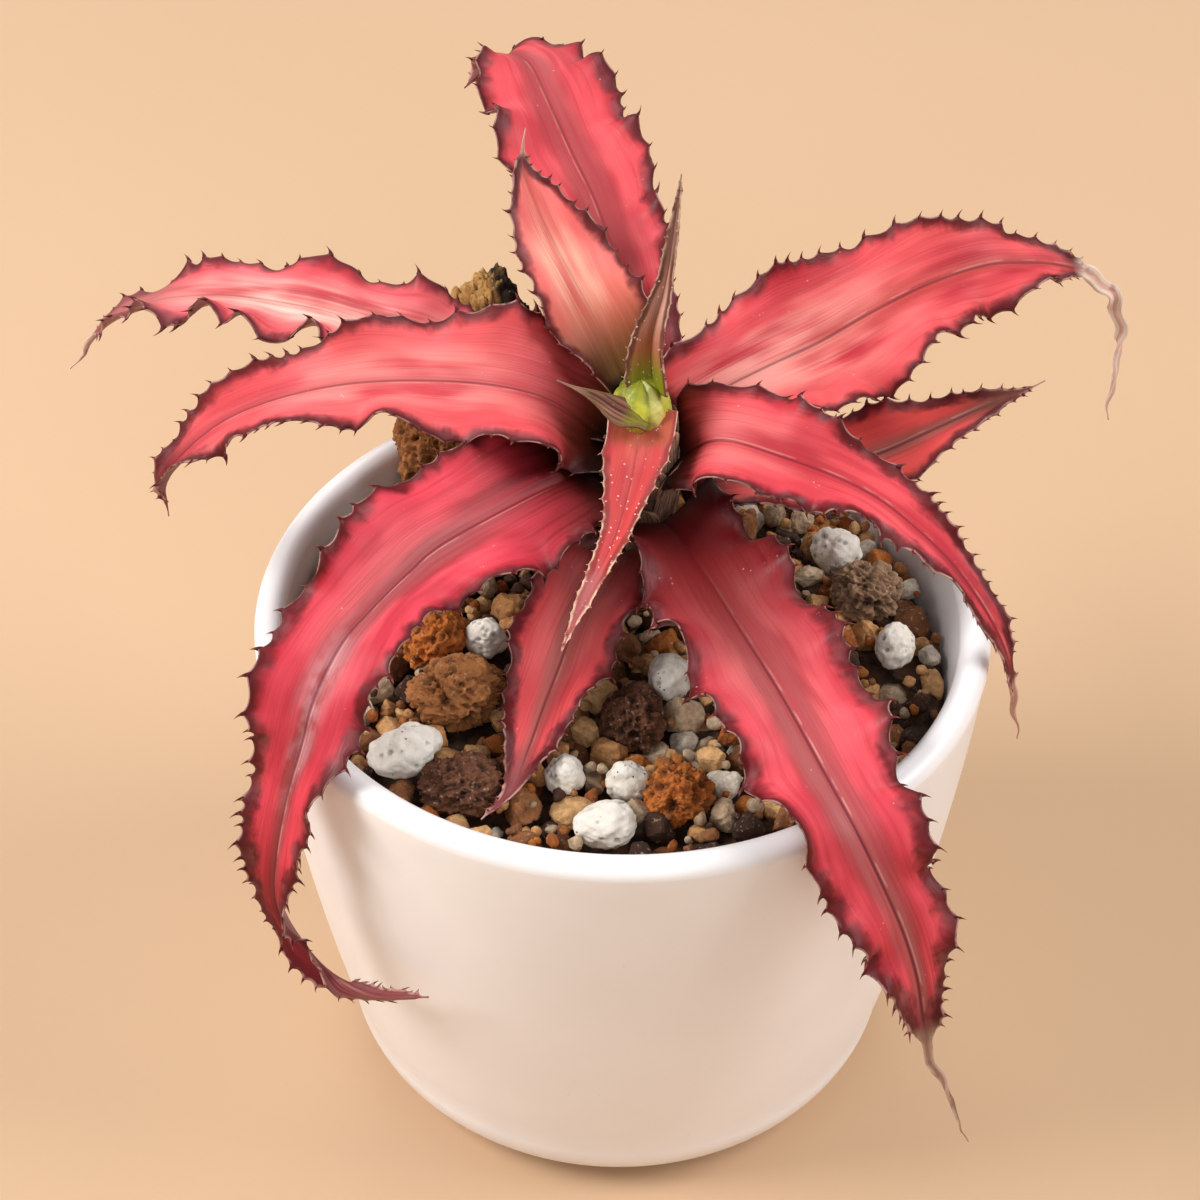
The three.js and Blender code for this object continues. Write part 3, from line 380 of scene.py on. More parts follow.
def build_pot():
    lip = POT["wall"] / 2
    profile = [(0, 0), (10, 0), (POT["foot"] - POT["corner"] - 1, 0)]
    profile += arc(POT["foot"] - POT["corner"], POT["corner"], POT["corner"], -90, 0, 24)
    profile += [(pot_radius(z), z) for z in np.linspace(14, POT["height"] - lip - 3, 30)]
    profile += arc(POT["rim"] - lip, POT["height"] - lip, lip, 0, 180, 20)
    profile += [(pot_inner(z), z) for z in np.linspace(POT["height"] - 6, POT["floor"] + 6, 12)]
    profile += [(pot_inner(POT["floor"]) - 4, POT["floor"] + 2)]
    profile += [(pot_inner(POT["floor"]) - 8, POT["floor"]), (0, POT["floor"])]
    points, faces = lathe(profile, 180)
    make_piece("glazed_pot", points, faces, "pot", glaze_material())


# Stones and grit.

TALL_STONES = ("lava_back_low", "lava_back_tall")
LUMPY_STONES = ("pumice_left", "pumice_rear", "pumice_inner")
# nest: how close two grains come, as a share of their radii; proud: how far a grain may stand
# over the bed's level; sunk: how far below it a crumb may lie.
GRAINS = dict(most=680, misses=420, tries=26, wall_gap=0.4, stem_gap=0.3, nest=0.92, proud=0.3)
CRUMBS = dict(most=420, tries=4, wall_gap=0.5, radius=(0.5, 1.15), nest=0.9, proud=0.2, sunk=3.5)
# under: how far the fine filling stays below the bed's level; gap: what it leaves at the wall
FILLING = dict(under=5, gap=0.35, reach=44)
GRAIN_KINDS = [
    # name, share, radius low and high, sRGB colours to draw between
    ("ochre", 0.32, (1.5, 2.6), ((182, 126, 74), (222, 176, 122))),
    ("brown", 0.22, (1.7, 3.0), ((108, 66, 40), (158, 104, 64))),
    ("dark", 0.16, (1.6, 3.0), ((48, 32, 26), (78, 52, 42))),
    ("orange", 0.10, (1.6, 2.8), ((150, 82, 34), (192, 116, 52))),
    ("beige", 0.13, (1.5, 2.7), ((166, 140, 112), (210, 186, 156))),
    ("white", 0.07, (1.5, 2.6), ((206, 194, 176), (232, 224, 208))),
]


def srgb(colour):
    share = np.asarray(colour, float) / 255
    return np.where(share <= 0.04045, share / 12.92, ((share + 0.055) / 1.055) ** 2.4)


def turned_about(points, random):
    quaternion = random.normal(size=4)
    a, b, c, d = quaternion / np.linalg.norm(quaternion)
    turn = np.array([
        [a * a + b * b - c * c - d * d, 2 * (b * c - a * d), 2 * (b * d + a * c)],
        [2 * (b * c + a * d), a * a - b * b + c * c - d * d, 2 * (c * d - a * b)],
        [2 * (b * d - a * c), 2 * (c * d + a * b), a * a - b * b - c * c + d * d]])
    return points @ turn.T


def stone_blocks():
    """Balls (x, y, z, radius) that the grains keep off: one a stone, three in a tall one."""
    blocks = []
    for name, at, half, _, _ in STONES:
        if name in TALL_STONES:
            blocks += [(at[0], at[1], z, 5.5) for z in (66, 72, 77)]
        else:
            blocks.append((*at, 0.92 * (half[0] + half[1]) / 2))
    return np.array(blocks)


def spot_in_pot(reach, random):
    angle, out = random.uniform(0, math.tau), reach * math.sqrt(random.uniform())
    return out * math.cos(angle), out * math.sin(angle)


def resting_height(x, y, radius, placed, nest):
    """The height at which a ball comes to rest on those placed, or minus infinity."""
    apart = np.hypot(placed[:, 0] - x, placed[:, 1] - y)
    touch = nest * (placed[:, 3] + radius)
    near = apart < touch
    rise = np.sqrt(touch[near] ** 2 - apart[near] ** 2)
    return float((placed[near, 2] + rise).max(initial=-math.inf))


def heap_grains(random):
    """Loose grains, each dropped to the roomiest of several spots, up to the bed's level."""
    shares = np.array([kind[1] for kind in GRAIN_KINDS])
    placed = stone_blocks()
    grains = []
    misses = 0
    while misses < GRAINS["misses"] and len(grains) < GRAINS["most"]:
        kind = int(random.choice(len(GRAIN_KINDS), p=shares / shares.sum()))
        radius = random.uniform(*GRAIN_KINDS[kind][2])
        reach = pot_inner(BED["at_wall"]) - radius - GRAINS["wall_gap"]
        keep_off = STEM["radius"] + radius + GRAINS["stem_gap"]
        best = None
        for _ in range(GRAINS["tries"]):
            x, y = spot_in_pot(reach, random)
            if math.hypot(x - STEM["x"], y - STEM["y"]) < keep_off:
                continue
            level = bed_level(x, y)
            z = max(level - BED["depth"] + radius,
                    resting_height(x, y, radius, placed, GRAINS["nest"]))
            room = level + GRAINS["proud"] - (z + radius)
            if room > 0 and (best is None or room > best[0]):
                best = (room, x, y, z)
        if best is None:
            misses += 1
            continue
        centre = best[1:]
        placed = np.vstack([placed, (*centre, radius)])
        grains.append((kind, np.array(centre), radius))
    return grains, placed


def scatter_crumbs(placed, random):
    """Small fragments that lie in the hollows on top of the grains."""
    crumbs = []
    for _ in range(CRUMBS["most"] * CRUMBS["tries"]):
        radius = random.uniform(*CRUMBS["radius"])
        reach = pot_inner(BED["at_wall"]) - radius - CRUMBS["wall_gap"]
        x, y = spot_in_pot(reach, random)
        z = resting_height(x, y, radius, placed, CRUMBS["nest"])
        level = bed_level(x, y)
        if level - CRUMBS["sunk"] < z < level + CRUMBS["proud"] - radius:
            kind = int(random.integers(0, 5))
            crumbs.append((kind, np.array((x, y, z)), radius))
            placed = np.vstack([placed, (x, y, z, radius)])
        if len(crumbs) == CRUMBS["most"]:
            break
    return crumbs


def grain_shape(directions, radius, random, seed):
    """One crumbly, angular grain: a ball with flats ground on it and a rough skin."""
    points = directions * (1 + 0.1 * wobble(directions, seed, 1.6, 2))[:, None]
    for _ in range(random.integers(7, 12)):
        normal = unit(random.normal(size=3))
        over = points @ normal - random.uniform(0.5, 0.84)
        points = points - np.clip(over, 0, None)[:, None] * normal * 0.93
    skin = 0.07 * wobble(directions, seed + 900, 0.42, 3)
    points = points * (1 + skin)[:, None] * random.uniform(0.82, 1.16, 3)
    return turned_about(points, random) * radius * 1.1


def grain_heap(number, centre, radius):
    """The piece that a grain goes to, and how finely it is split by how deep it lies."""
    buried = bed_level(centre[0], centre[1]) - centre[2] - radius
    if buried < 1.2:
        return ("grit_top", "grit_middle")[number % 2], 3
    return "grit_deep", 2 if buried < 3.2 else 1


def build_grit():
    random = np.random.default_rng(23)
    balls = {level: ball(level) for level in (1, 2, 3)}
    grains, placed = heap_grains(random)
    crumbs = scatter_crumbs(placed, random)
    parts = {"grit_top": [], "grit_middle": [], "grit_deep": [], "grit_crumbs": []}
    for number, (kind, centre, radius) in enumerate(grains + crumbs):
        heap, level = "grit_crumbs", 1
        if number < len(grains):
            heap, level = grain_heap(number, centre, radius)
        directions, triangles = balls[level]
        points = keep_in_pot(grain_shape(directions, radius, random, number) + centre)
        low, high = (srgb(c) for c in GRAIN_KINDS[kind][3])
        tone = (low + (high - low) * random.uniform()) * random.uniform(0.95, 1.3)
        # This draw isn't used, but every later grain's shape depends on it.
        random.uniform()
        parts[heap].append((points, triangles, dict(tone=np.tile(tone, (len(points), 1)))))
    for name, heap in parts.items():
        points, faces, attributes = join(heap)
        make_piece(name, points, faces, "grit_bed", stone_material("grit"), attributes)


def build_filling():
    """The fine dark grit from the pot's floor up, seen in the gaps between the grains."""
    def level(radius):
        dip = (BED["at_middle"] - BED["at_wall"]) * (radius / 45) ** 2
        return BED["at_middle"] - dip - FILLING["under"]

    bottom = POT["floor"] + 0.4
    corner = pot_inner(bottom)
    side = [(corner - 8.4, bottom), (corner - 4.5, bottom + 2.1)]
    side += [(pot_inner(z) - FILLING["gap"], z)
             for z in np.linspace(14, level(FILLING["reach"]) - 1.5, 8)]
    top = [(r, level(r)) for r in np.linspace(FILLING["reach"] - 0.5, 1, 12)]
    points, faces = lathe([(0, bottom), *side, *top, (0, level(0))], 96)
    upper = points[:, 2] > 60
    points[:, 2] += np.where(upper, 0.8 * wobble(points, 5, 7) - 0.4, 0)
    make_piece("grit_filling", points, faces, "grit_bed", filling_material())


def knobs(directions, random, count, size, height):
    """Height of rounded knobs scattered on a ball, for crumbly stones."""
    seeds = unit(random.normal(size=(count, 3)))
    sizes = size * random.uniform(0.6, 1.3, count)
    apart = np.arccos(np.clip(directions @ seeds.T, -1, 1)) / sizes
    dome = np.sqrt(np.clip(1 - apart ** 2, 0, 1)) * sizes / size
    return height * dome.max(axis=1)


STONE_TONES = {
    "pumice": ((226, 217, 203), (245, 240, 230)),
    "tan": ((130, 76, 38), (190, 126, 74)),
    "orange": ((142, 70, 26), (210, 122, 52)),
    "dark": ((72, 42, 30), (122, 78, 56)),
    "grey": ((112, 80, 58), (176, 142, 112)),
    "ochre": ((164, 112, 56), (220, 172, 104)),
}


def pumice_form(directions, random, number, lumpy):
    """How far each point of a smooth, lumpy, pitted stone lies out, and how deep its pits are."""
    scale = 1.0 - lumpy + knobs(directions, random, 12, 0.75, lumpy)
    scale += knobs(directions, random, 60, 0.28, 0.04)
    scale += 0.09 * wobble(directions, number, 1.1)
    pits = knobs(directions, random, 18, 0.1, 0.07)
    return scale - pits - 0.012 * wobble(directions, number + 50, 0.22, 2), pits


def lava_form(directions, random, number, radius):
    """The same for a crumbly stone, whose knobs and ridges have a size in millimetres."""
    scale = 0.88 - 0.65 / radius + knobs(directions, random, 40, 2.3 / radius, 0.9 / radius)
    scale += knobs(directions, random, 300, 0.8 / radius, 0.6 / radius)
    scale += 0.08 * wobble(directions, number, 0.9)
    ridges = 0.5 - np.abs(wobble(directions, number + 50, 1.5 / radius, 3))
    scale += 0.8 / radius * ridges
    pits = knobs(directions, random, 70, 0.6 / radius, 0.5 / radius)
    return scale - pits, pits


def stone_tone(points, kind, number, depth, pits):
    """Patchy colour, with painted shade darkening the hollows and the pits."""
    first, last = (srgb(c) for c in STONE_TONES[kind])
    patch = 0.5 + 0.5 * wobble(points, number, 5.0)
    tone = first + (last - first) * np.clip(0.45 * patch + 0.8 * depth - 0.15, 0, 1)[:, None]
    return tone * (1 - 0.5 * np.clip(pits / (0.6 * pits.max()), 0, 1))[:, None]


def build_stones():
    for number, (name, at, half, turn, kind) in enumerate(STONES):
        random = np.random.default_rng(100 + number)
        slot = "pumice" if kind == "pumice" else "lava"
        directions, triangles = ball(4 if slot == "pumice" else 5)
        if slot == "pumice":
            lumpy = 0.2 if name in LUMPY_STONES else 0.1
            scale, pits = pumice_form(directions, random, number, lumpy)
        else:
            scale, pits = lava_form(directions, random, number, sum(half) / 3)
        points = directions * scale[:, None] * half
        angle = math.radians(turn)
        x = points[:, 0] * math.cos(angle) - points[:, 1] * math.sin(angle)
        y = points[:, 0] * math.sin(angle) + points[:, 1] * math.cos(angle)
        points = keep_in_pot(np.stack([x, y, points[:, 2]], axis=1) + at)
        depth = np.clip((scale - scale.min()) / (np.quantile(scale, 0.97) - scale.min()), 0, 1)
        tone = stone_tone(points, kind, number, depth, pits)
        if name == "lava_back_tall":
            # Its upper right part is darkened nearly black by painted shadow.
            dark = smooth_step(points[:, 0] + 2.6 * wobble(points, 9, 7), -19.8, -18.2)
            dark = dark * smooth_step(points[:, 2] + 4 * wobble(points, 12, 5), 86, 94)
            tone = tone + (srgb((34, 26, 22)) - tone) * dark[:, None]
        # depth goes out as rough, which places the lava's painted shade in its hollows.
        make_piece("detailed_" + name, points, triangles.tolist(), name,
                   stone_material(slot), dict(tone=tone, rough=depth))


def keep_in_pot(points):
    """Draws in what would pass through the pot's wall below its rim."""
    radius = np.hypot(points[:, 0], points[:, 1])
    below = points[:, 2] < POT["height"] + 0.3
    limit = np.array([pot_inner(min(z, POT["height"])) - 0.6 for z in points[:, 2]])
    shrink = np.where(below & (radius > limit), limit / np.maximum(radius, 1e-6), 1.0)
    points[:, :2] *= shrink[:, None]
    return points


# Leaves.

def through(three, u):
    """The smooth curve through values at the base, the middle and the tip."""
    base, middle, tip = three
    return base * (1 - u) * (1 - 2 * u) + middle * 4 * u * (1 - u) + tip * u * (2 * u - 1)


def midrib_line(leaf):
    """Points of the midrib by length, with its full length: a uniform Catmull-Rom curve."""
    angle = math.radians(leaf["heading"])
    cos, sin = math.cos(angle), math.sin(angle)
    knots = np.array([(o * cos - s * sin, o * sin + s * cos, h) for o, s, h in leaf["midrib"]])
    ends = np.vstack([2 * knots[0] - knots[1], knots, 2 * knots[-1] - knots[-2]])
    dense = []
    steps = np.linspace(0, 1, 120, endpoint=False)[:, None]
    for i in range(len(knots) - 1):
        p0, p1, p2, p3 = ends[i:i + 4]
        t0, t1 = 0.5 * (p2 - p0), 0.5 * (p3 - p1)
        dense.append(p1 + t0 * steps + (3 * (p2 - p1) - 2 * t0 - t1) * steps ** 2
                     + (2 * (p1 - p2) + t0 + t1) * steps ** 3)
    dense = np.vstack([*dense, knots[-1:]])
    run = np.concatenate([[0], np.cumsum(np.linalg.norm(np.diff(dense, axis=0), axis=1))])
    return dense, run


def half_widths(leaf, u, length):
    """Half the blade's width along it, drawn out to a fine point at the tip."""
    widths = np.array(leaf["widths"], float)
    end = leaf["end"]
    thread = leaf["thread"]
    place = np.clip(u / end, 0, 1 - 1e-9) * (len(widths) - 1)
    step = np.minimum(len(widths) - 2, place.astype(int))
    share = place - step
    here, following = widths[step], widths[step + 1]
    before = widths[np.maximum(0, step - 1)]
    after = widths[np.minimum(len(widths) - 1, step + 2)]
    bend = share * (1 - share) / 2
    full = here + (following - here) * share
    full += bend * (here - before) * (1 - share) - bend * (after - following) * share
    half = np.maximum(thread, full / 2)
    dried = thread * (1 - 0.5 * (u - end) / (1 - end))
    settle = smooth_step(u * length, end * length - 0.2, end * length + 2.2)
    half = np.where(u >= end, dried + (widths[-1] / 2 - thread) * (1 - settle), half)
    return np.maximum(0.12, half * (1 - 0.9 * smooth_step((u - 1) * length, -BLADE["tip"], 1)))


def turned(vectors, axes, degrees):
    angle = np.radians(degrees)[:, None]
    return vectors * np.cos(angle) + np.cross(axes, vectors) * np.sin(angle)


def spine_line(leaf, along_run, random):
    """Places along one margin of its spines, each on a row, with heights and tilts."""
    places, heights = [], []
    length = along_run[-1]
    at = SPINE["first"] + random.uniform(0, 1)
    while leaf["tooth"] > 0 and at < leaf["end"] * length - 0.3:
        half = float(half_widths(leaf, np.array([at / length]), length)[0])
        size = leaf["tooth"] * min(1, 0.36 + half / 6)
        places.append(along_run[np.abs(along_run - at).argmin()])
        heights.append(size * random.uniform(*SPINE["sizes"]))
        at += (SPINE["gap"] + SPINE["gap_more"] * min(half, 8)) * random.uniform(*SPINE["gaps"])
    return np.array(places), np.array(heights), random.uniform(*SPINE["tilts"], len(places))


def web(run, places, values, sharp):
    """A margin value between spines: the spine's own at each, falling to nought in the bays."""
    if len(places) < 2:
        return np.zeros(len(run))
    index = np.clip(np.searchsorted(places, run) - 1, 0, len(places) - 2)
    gap = np.minimum(places[index + 1] - places[index], BLADE["web"])
    after = np.clip(1 - np.abs(run - places[index]) / gap, 0, 1)
    before = np.clip(1 - np.abs(places[index + 1] - run) / gap, 0, 1)
    return values[index] * after ** sharp + values[index + 1] * before ** (sharp + 0.8)


# Where the grid's lines run, from margin to margin, as shares of half the width.
LANES = np.array([0, .025, .055, .1, .16, .24, .33, .43, .53, .63, .72, .8, .86, .91, .95, .98, 1])
LANES = np.concatenate([-LANES[:0:-1], LANES])


def leaf_axes(leaf, dense, run, along_run):
    """The midrib's points with the directions along the blade, across it and up from it."""
    u = along_run / run[-1]
    centre = np.stack([np.interp(along_run, run, dense[:, k]) for k in range(3)], axis=1)
    first = dense[8] - dense[0]
    centre += np.minimum(0, along_run)[:, None] * first / np.linalg.norm(first)
    along = unit(np.gradient(centre, axis=0))
    angle = math.radians(leaf["heading"])
    level = np.array([-math.sin(angle), math.cos(angle), 0.0])
    across = unit(level - (along @ level)[:, None] * along)
    beyond = np.clip(u - leaf["end"], 0, 1) * run[-1]
    twist = 9 * beyond + 30 * np.sin(beyond * 0.7) * np.clip(beyond / 6, 0, 1)
    across = turned(across, along, through(leaf["roll"], u) + twist)
    sway = 0.35 * np.clip(beyond / 5, 0, 1) * np.sin(beyond * 0.9)
    return centre + across * sway[:, None], along, across, np.cross(along, across)


def leaf_surface(leaf, random):
    """The blade's middle sheet as a grid, with what its skin, spines and colours need."""
    dense, run = midrib_line(leaf)
    length, tuck = run[-1], leaf["tuck"]
    rows = max(40, int((length + tuck) / BLADE["step"]))
    along_run = np.linspace(-tuck, length, rows + 1)
    u = along_run / length
    centre, along, across, up = leaf_axes(leaf, dense, run, along_run)
    half = half_widths(leaf, np.clip(u, 0, 1), length)

    size, wave_length, left, right = leaf["wave"]
    fullness = np.minimum(1, half / BLADE["full_half"])[:, None]
    lane = LANES[None, :]
    reach = np.abs(lane)
    start = np.where(lane > 0, left, right)
    turn = math.tau * (along_run[:, None] / wave_length + start)
    fold = np.radians(through(leaf["fold"], u))[:, None]
    wide = half[:, None] * lane * (1 + BLADE["scallop"] * np.cos(turn) * fullness * reach)
    if leaf["bay"]:
        side, middle, spread, depth = leaf["bay"]
        inward = depth * (1 - smooth_step(np.abs(along_run - middle), 0, spread))
        wide = wide * np.where(side * lane > 0, 1 - inward[:, None], 1)
    # The fold is rounded at the midrib: a hyperbola that starts from nought.
    lift = half[:, None] * (np.sqrt(reach ** 2 + 0.02) - 0.1414) * np.sin(fold)
    lift = lift + size * reach ** 2 * np.sin(turn) * fullness
    for side, height, spacing, shift in leaf["frills"]:
        there = np.clip(side * lane, 0, 1) ** 3.2
        phase = math.tau * (along_run / spacing + shift + 0.12 * np.sin(along_run / 3.1 + side))
        lift = lift + height * there * np.sin(phase)[:, None] * fullness
        wide = wide + side * 0.22 * height * there * np.cos(phase)[:, None] * fullness

    spines = {}
    for side in (-1, 1):
        places, heights, tilts = spine_line(leaf, along_run, random)
        spines[side] = (places, heights, tilts)
        near = smooth_step(side * lane, 0.82, 1.0) ** 1.5
        curl = web(along_run, places, heights * tilts, 1.6)[:, None]
        lift = lift + 0.4 * curl * near
    sheet = (centre[:, None] + across[:, None] * (wide * np.cos(fold))[..., None]
             + up[:, None] * lift[..., None])
    d_across = np.gradient(sheet, axis=1)
    normal = unit(np.cross(np.gradient(sheet, axis=0), d_across))
    return dict(sheet=sheet, normal=normal, outward=unit(d_across), along=along, half=half, u=u,
                run=along_run, length=length, spines=spines)


def spine_roots(surface, side):
    """Row, root, outward and forward direction of each spine on one margin."""
    column = 0 if side < 0 else len(LANES) - 1
    for place in surface["spines"][side][0]:
        row = int(np.abs(surface["run"] - place).argmin())
        yield (row, surface["sheet"][row, column], surface["outward"][row, column] * side,
               surface["along"][row])


def clear_spines(surface, others):
    """Drops the spines that would stand in or pass through one of the neighbouring blades."""
    for side, spines in surface["spines"].items():
        keep = np.ones(len(spines[0]), bool)
        for number, (_, root, out, ahead) in enumerate(spine_roots(surface, side)):
            height = spines[1][number]
            reach = out * (1.5 + 1.4 * height) + ahead * 0.6 * height
            keep[number] = not any(tree.ray_cast(root - 1.5 * out, reach, np.linalg.norm(reach))[0]
                                   for tree in others)
        surface["spines"][side] = tuple(values[keep] for values in spines)


def stretch_webs(surface):
    """Draws the margins out to their spines, with round bays between them."""
    for side, (places, heights, _) in surface["spines"].items():
        stretch = web(surface["run"], places, heights, 1.7)[:, None]
        near = smooth_step(side * LANES[None, :], 0.8, 1.0) ** 1.4
        pull = 0.82 * side * surface["outward"] + 0.3 * surface["along"][:, None]
        surface["sheet"] = surface["sheet"] + pull * (stretch * near)[..., None]


def skin_faces(rows, lanes):
    """Faces of a closed skin: an upper grid, and a lower one that shares its two margins."""
    grid = np.arange(rows * lanes).reshape(rows, lanes)
    below = np.full((rows, lanes), -1)
    below[:, 0], below[:, -1] = grid[:, 0], grid[:, -1]
    below[:, 1:-1] = rows * lanes + np.arange(rows * (lanes - 2)).reshape(rows, lanes - 2)
    faces = []
    for mesh, order in ((grid, 1), (below, -1)):
        corners = [mesh[:-1, :-1], mesh[1:, :-1], mesh[1:, 1:], mesh[:-1, 1:]][::order]
        faces += np.stack([c.ravel() for c in corners], axis=1).tolist()
    for row, order in ((0, 1), (rows - 1, -1)):
        for k in range(lanes - 1):
            ring = [grid[row, k], grid[row, k + 1], below[row, k + 1], below[row, k]]
            faces.append(tuple(dict.fromkeys(int(v) for v in ring))[::order])
    return faces


def leaf_skin(leaf, surface):
    """Both faces of the blade as one closed skin, with its attributes."""
    sheet, normal, half, u = (surface[k] for k in ("sheet", "normal", "half", "u"))
    rows, lanes = sheet.shape[:2]
    run = surface["run"][:, None]
    inside = (1 - np.abs(LANES))[None, :]
    cross = half[:, None] * LANES[None, :]
    edge = half[:, None] * inside
    thinning = (1 - 0.75 * u)[:, None]
    body = BLADE["margin"] + (BLADE["rib"] - BLADE["margin"]) * inside * thinning
    thick = np.minimum(body, 0.25 + half[:, None]) * np.sqrt(np.clip(edge / 0.3, 0, 1))
    crease, keel = (size * np.exp(-(cross / spread) ** 2) * (1 - 0.6 * u)[:, None]
                    for size, spread in (BLADE["crease"], BLADE["keel"]))
    ribs = np.sin(cross * math.tau / leaf["rib_spacing"] + 0.6 * np.sin(run * 0.11))
    ribs = leaf["ribs"] * ribs * smooth_step(edge, 0.3, 1.2)
    top = sheet + normal * (thick / 2 - np.minimum(crease, thick * 0.35) + ribs)[..., None]
    under = sheet - normal * (thick / 2 + keel * np.clip(edge / 1.5, 0, 1) - ribs)[..., None]
    points = np.concatenate([top.reshape(-1, 3), under[:, 1:-1].reshape(-1, 3)])

    def spread(values):
        full = np.broadcast_to(values, (rows, lanes))
        return np.concatenate([full.ravel(), full[:, 1:-1].ravel()])

    end = leaf["end"]
    dries = 1.0 if end < 0.95 else 0.0
    attributes = dict(
        lane=spread(LANES[None, :]), cross=spread(cross), edge=spread(edge), run=spread(run),
        share=spread(np.clip(u / end, 0, 1)[:, None]),
        dry=spread(smooth_step(u, end - 0.02, end + 0.012)[:, None] * dries),
        under=np.concatenate([np.zeros(rows * lanes), np.ones(rows * (lanes - 2))]),
        spine=np.zeros(len(points)))
    return points, skin_faces(rows, lanes), attributes


def cone_faces(rings, sides):
    """Faces of a cone whose tip is its last point, with a base."""
    faces = []
    for a in range((rings - 1) * sides):
        b = a + 1 if (a + 1) % sides else a + 1 - sides
        faces.append((a, b, b + sides, a + sides))
    last = (rings - 1) * sides
    faces += [(last + k, last + (k + 1) % sides, rings * sides) for k in range(sides)]
    return faces + [tuple(reversed(range(sides)))]


def leaf_spines(leaf, surface, random):
    """Hooked spines on both margins, each a small flattened cone that leans to the tip."""
    rings, sides = SPINE["rings"], SPINE["sides"]
    cone = cone_faces(rings, sides)
    t = np.append(np.repeat(np.arange(rings) / rings, sides), 1.0)
    angle = np.append(np.tile(np.arange(sides) * math.tau / sides, rings), 0.0)
    none = np.zeros(len(t))
    parts = []
    for side, (places, heights, tilts) in surface["spines"].items():
        roots = spine_roots(surface, side)
        for place, height, tilt, (row, root, out, ahead) in zip(places, heights, tilts, roots):
            lift = surface["normal"][row, 0 if side < 0 else -1]
            hook = random.uniform(*SPINE["hooks"]) * height
            rise = (0.25 * tilt + random.uniform(-0.1, 0.1)) * height
            middle = (root + np.outer(height * 0.5 * t - 0.5 * (1 - t), out)
                      + np.outer(rise * t, lift) + np.outer(hook * t * t - 0.1, ahead))
            radius = 0.24 * height * (1 - t) ** 1.1 + 0.025
            ring = (np.outer(radius * np.cos(angle), ahead)
                    + np.outer((0.5 * radius + 0.04) * np.sin(angle), lift))
            flip = np.dot(np.cross(ahead, lift), out) < 0
            share = min(1, place / surface["length"] / leaf["end"])
            parts.append((middle + ring * (t < 1)[:, None],
                          [face[::-1] for face in cone] if flip else cone,
                          dict(lane=none + side, cross=none, edge=none, run=none + place,
                               share=none + share, dry=none, under=none,
                               spine=0.15 + 0.85 * t)))
    return parts


def build_leaves():
    draws = [np.random.default_rng(300 + number) for number in range(len(LEAVES))]
    surfaces = [leaf_surface(leaf, random) for leaf, random in zip(LEAVES, draws)]
    skins = [leaf_skin(leaf, surface) for leaf, surface in zip(LEAVES, surfaces)]
    trees = [BVHTree.FromPolygons(points.tolist(), faces) for points, faces, _ in skins]
    for number, (leaf, surface, random) in enumerate(zip(LEAVES, surfaces, draws)):
        clear_spines(surface, trees[:number] + trees[number + 1:])
        stretch_webs(surface)
        parts = [leaf_skin(leaf, surface), *leaf_spines(leaf, surface, random)]
        points, faces, attributes = join(parts)
        points = points + (STEM["x"], STEM["y"], 0)
        material = leaf_material(leaf["name"], {**LOOK, **LOOKS[leaf["name"]]}, number)
        make_piece("blade_" + leaf["name"][len("leaf_"):], points, faces, leaf["name"],
                   material, attributes)


# Stem and heart.

# degrees round the stem, height of the foot and how far the tip stands off
LOOSE_SHEATHS = [(212, 86.5, 1.6), (196, 88.5, 1.2), (338, 87.5, 1.0)]


def build_stem():
    """The stem in rows of dry leaf bases, with a few loose ones below the young front leaf."""
    profile = [(0, STEM["bottom"]), (3.3, STEM["bottom"] + 0.6), (4.5, STEM["bottom"] + 3)]
    profile += [(4.2, z) for z in np.linspace(62, STEM["top"] - 3, 40)]
    profile += [(3.4, STEM["top"] - 1), (2.0, STEM["top"]), (0, STEM["top"])]
    points, faces = lathe(profile, 64)
    points[:, :2] *= (1 + 0.05 * wobble(points * (1, 1, 0.4), 3, 3.0))[:, None]
    parts = [(points, faces, dict(rise=np.zeros(len(points)), band=np.zeros(len(points))))]
    random = np.random.default_rng(11)
    for row in range(6):
        for place in range(4):
            angle = math.tau * (place / 4 + 0.38 * row) + random.uniform(-0.2, 0.2)
            parts.append(sheath(angle, 72.5 + 3.9 * row, random))
    for degrees, bottom, away in LOOSE_SHEATHS:
        parts.append(sheath(math.radians(degrees), bottom, random, away))
    points, faces, attributes = join(parts)
    points = points + (STEM["x"], STEM["y"], 0)
    make_piece("stem_with_sheaths", points, faces, "stem", sheath_material(),
               attributes)


def sheath(angle, bottom, random, away=0.0):
    """One dry leaf base: a curved papery scale that hugs the stem and stands off at its tip."""
    rows, lanes = 12, 10
    tall, half = random.uniform(5.6, 7.6), random.uniform(0.62, 0.8)
    t = np.repeat(np.arange(rows + 1) / rows, lanes + 1)
    v = np.tile(2 * np.arange(lanes + 1) / lanes - 1, rows + 1)
    around = angle + (half * (1 - t ** 2.6) ** 0.6 + 0.02) * v
    off = 0.25 + 0.55 * t ** 2 + 0.1 * np.cos(9 * v) + 0.12 * v * v + away * t
    shells = []
    for thick in (0.14, -0.14):
        radius = STEM["radius"] - 0.35 + off + thick
        shells.append(np.stack([radius * np.cos(around), radius * np.sin(around),
                                bottom + tall * t], axis=1))
    count, wide = len(t), lanes + 1
    grid = np.arange(count).reshape(rows + 1, wide)
    faces = []
    for a in grid[:-1, :-1].ravel():
        quad = (a, a + 1, a + wide + 1, a + wide)
        faces += [quad, tuple(corner + count for corner in quad[::-1])]
    rim = [*grid[0], *grid[1:, -1], *grid[-1, -2::-1], *grid[-2:0:-1, 0]]
    faces += [(b, a, a + count, b + count) for a, b in zip(rim, rim[1:] + rim[:1])]
    return np.concatenate(shells), faces, dict(rise=np.tile(t, 2), band=np.tile(v, 2))


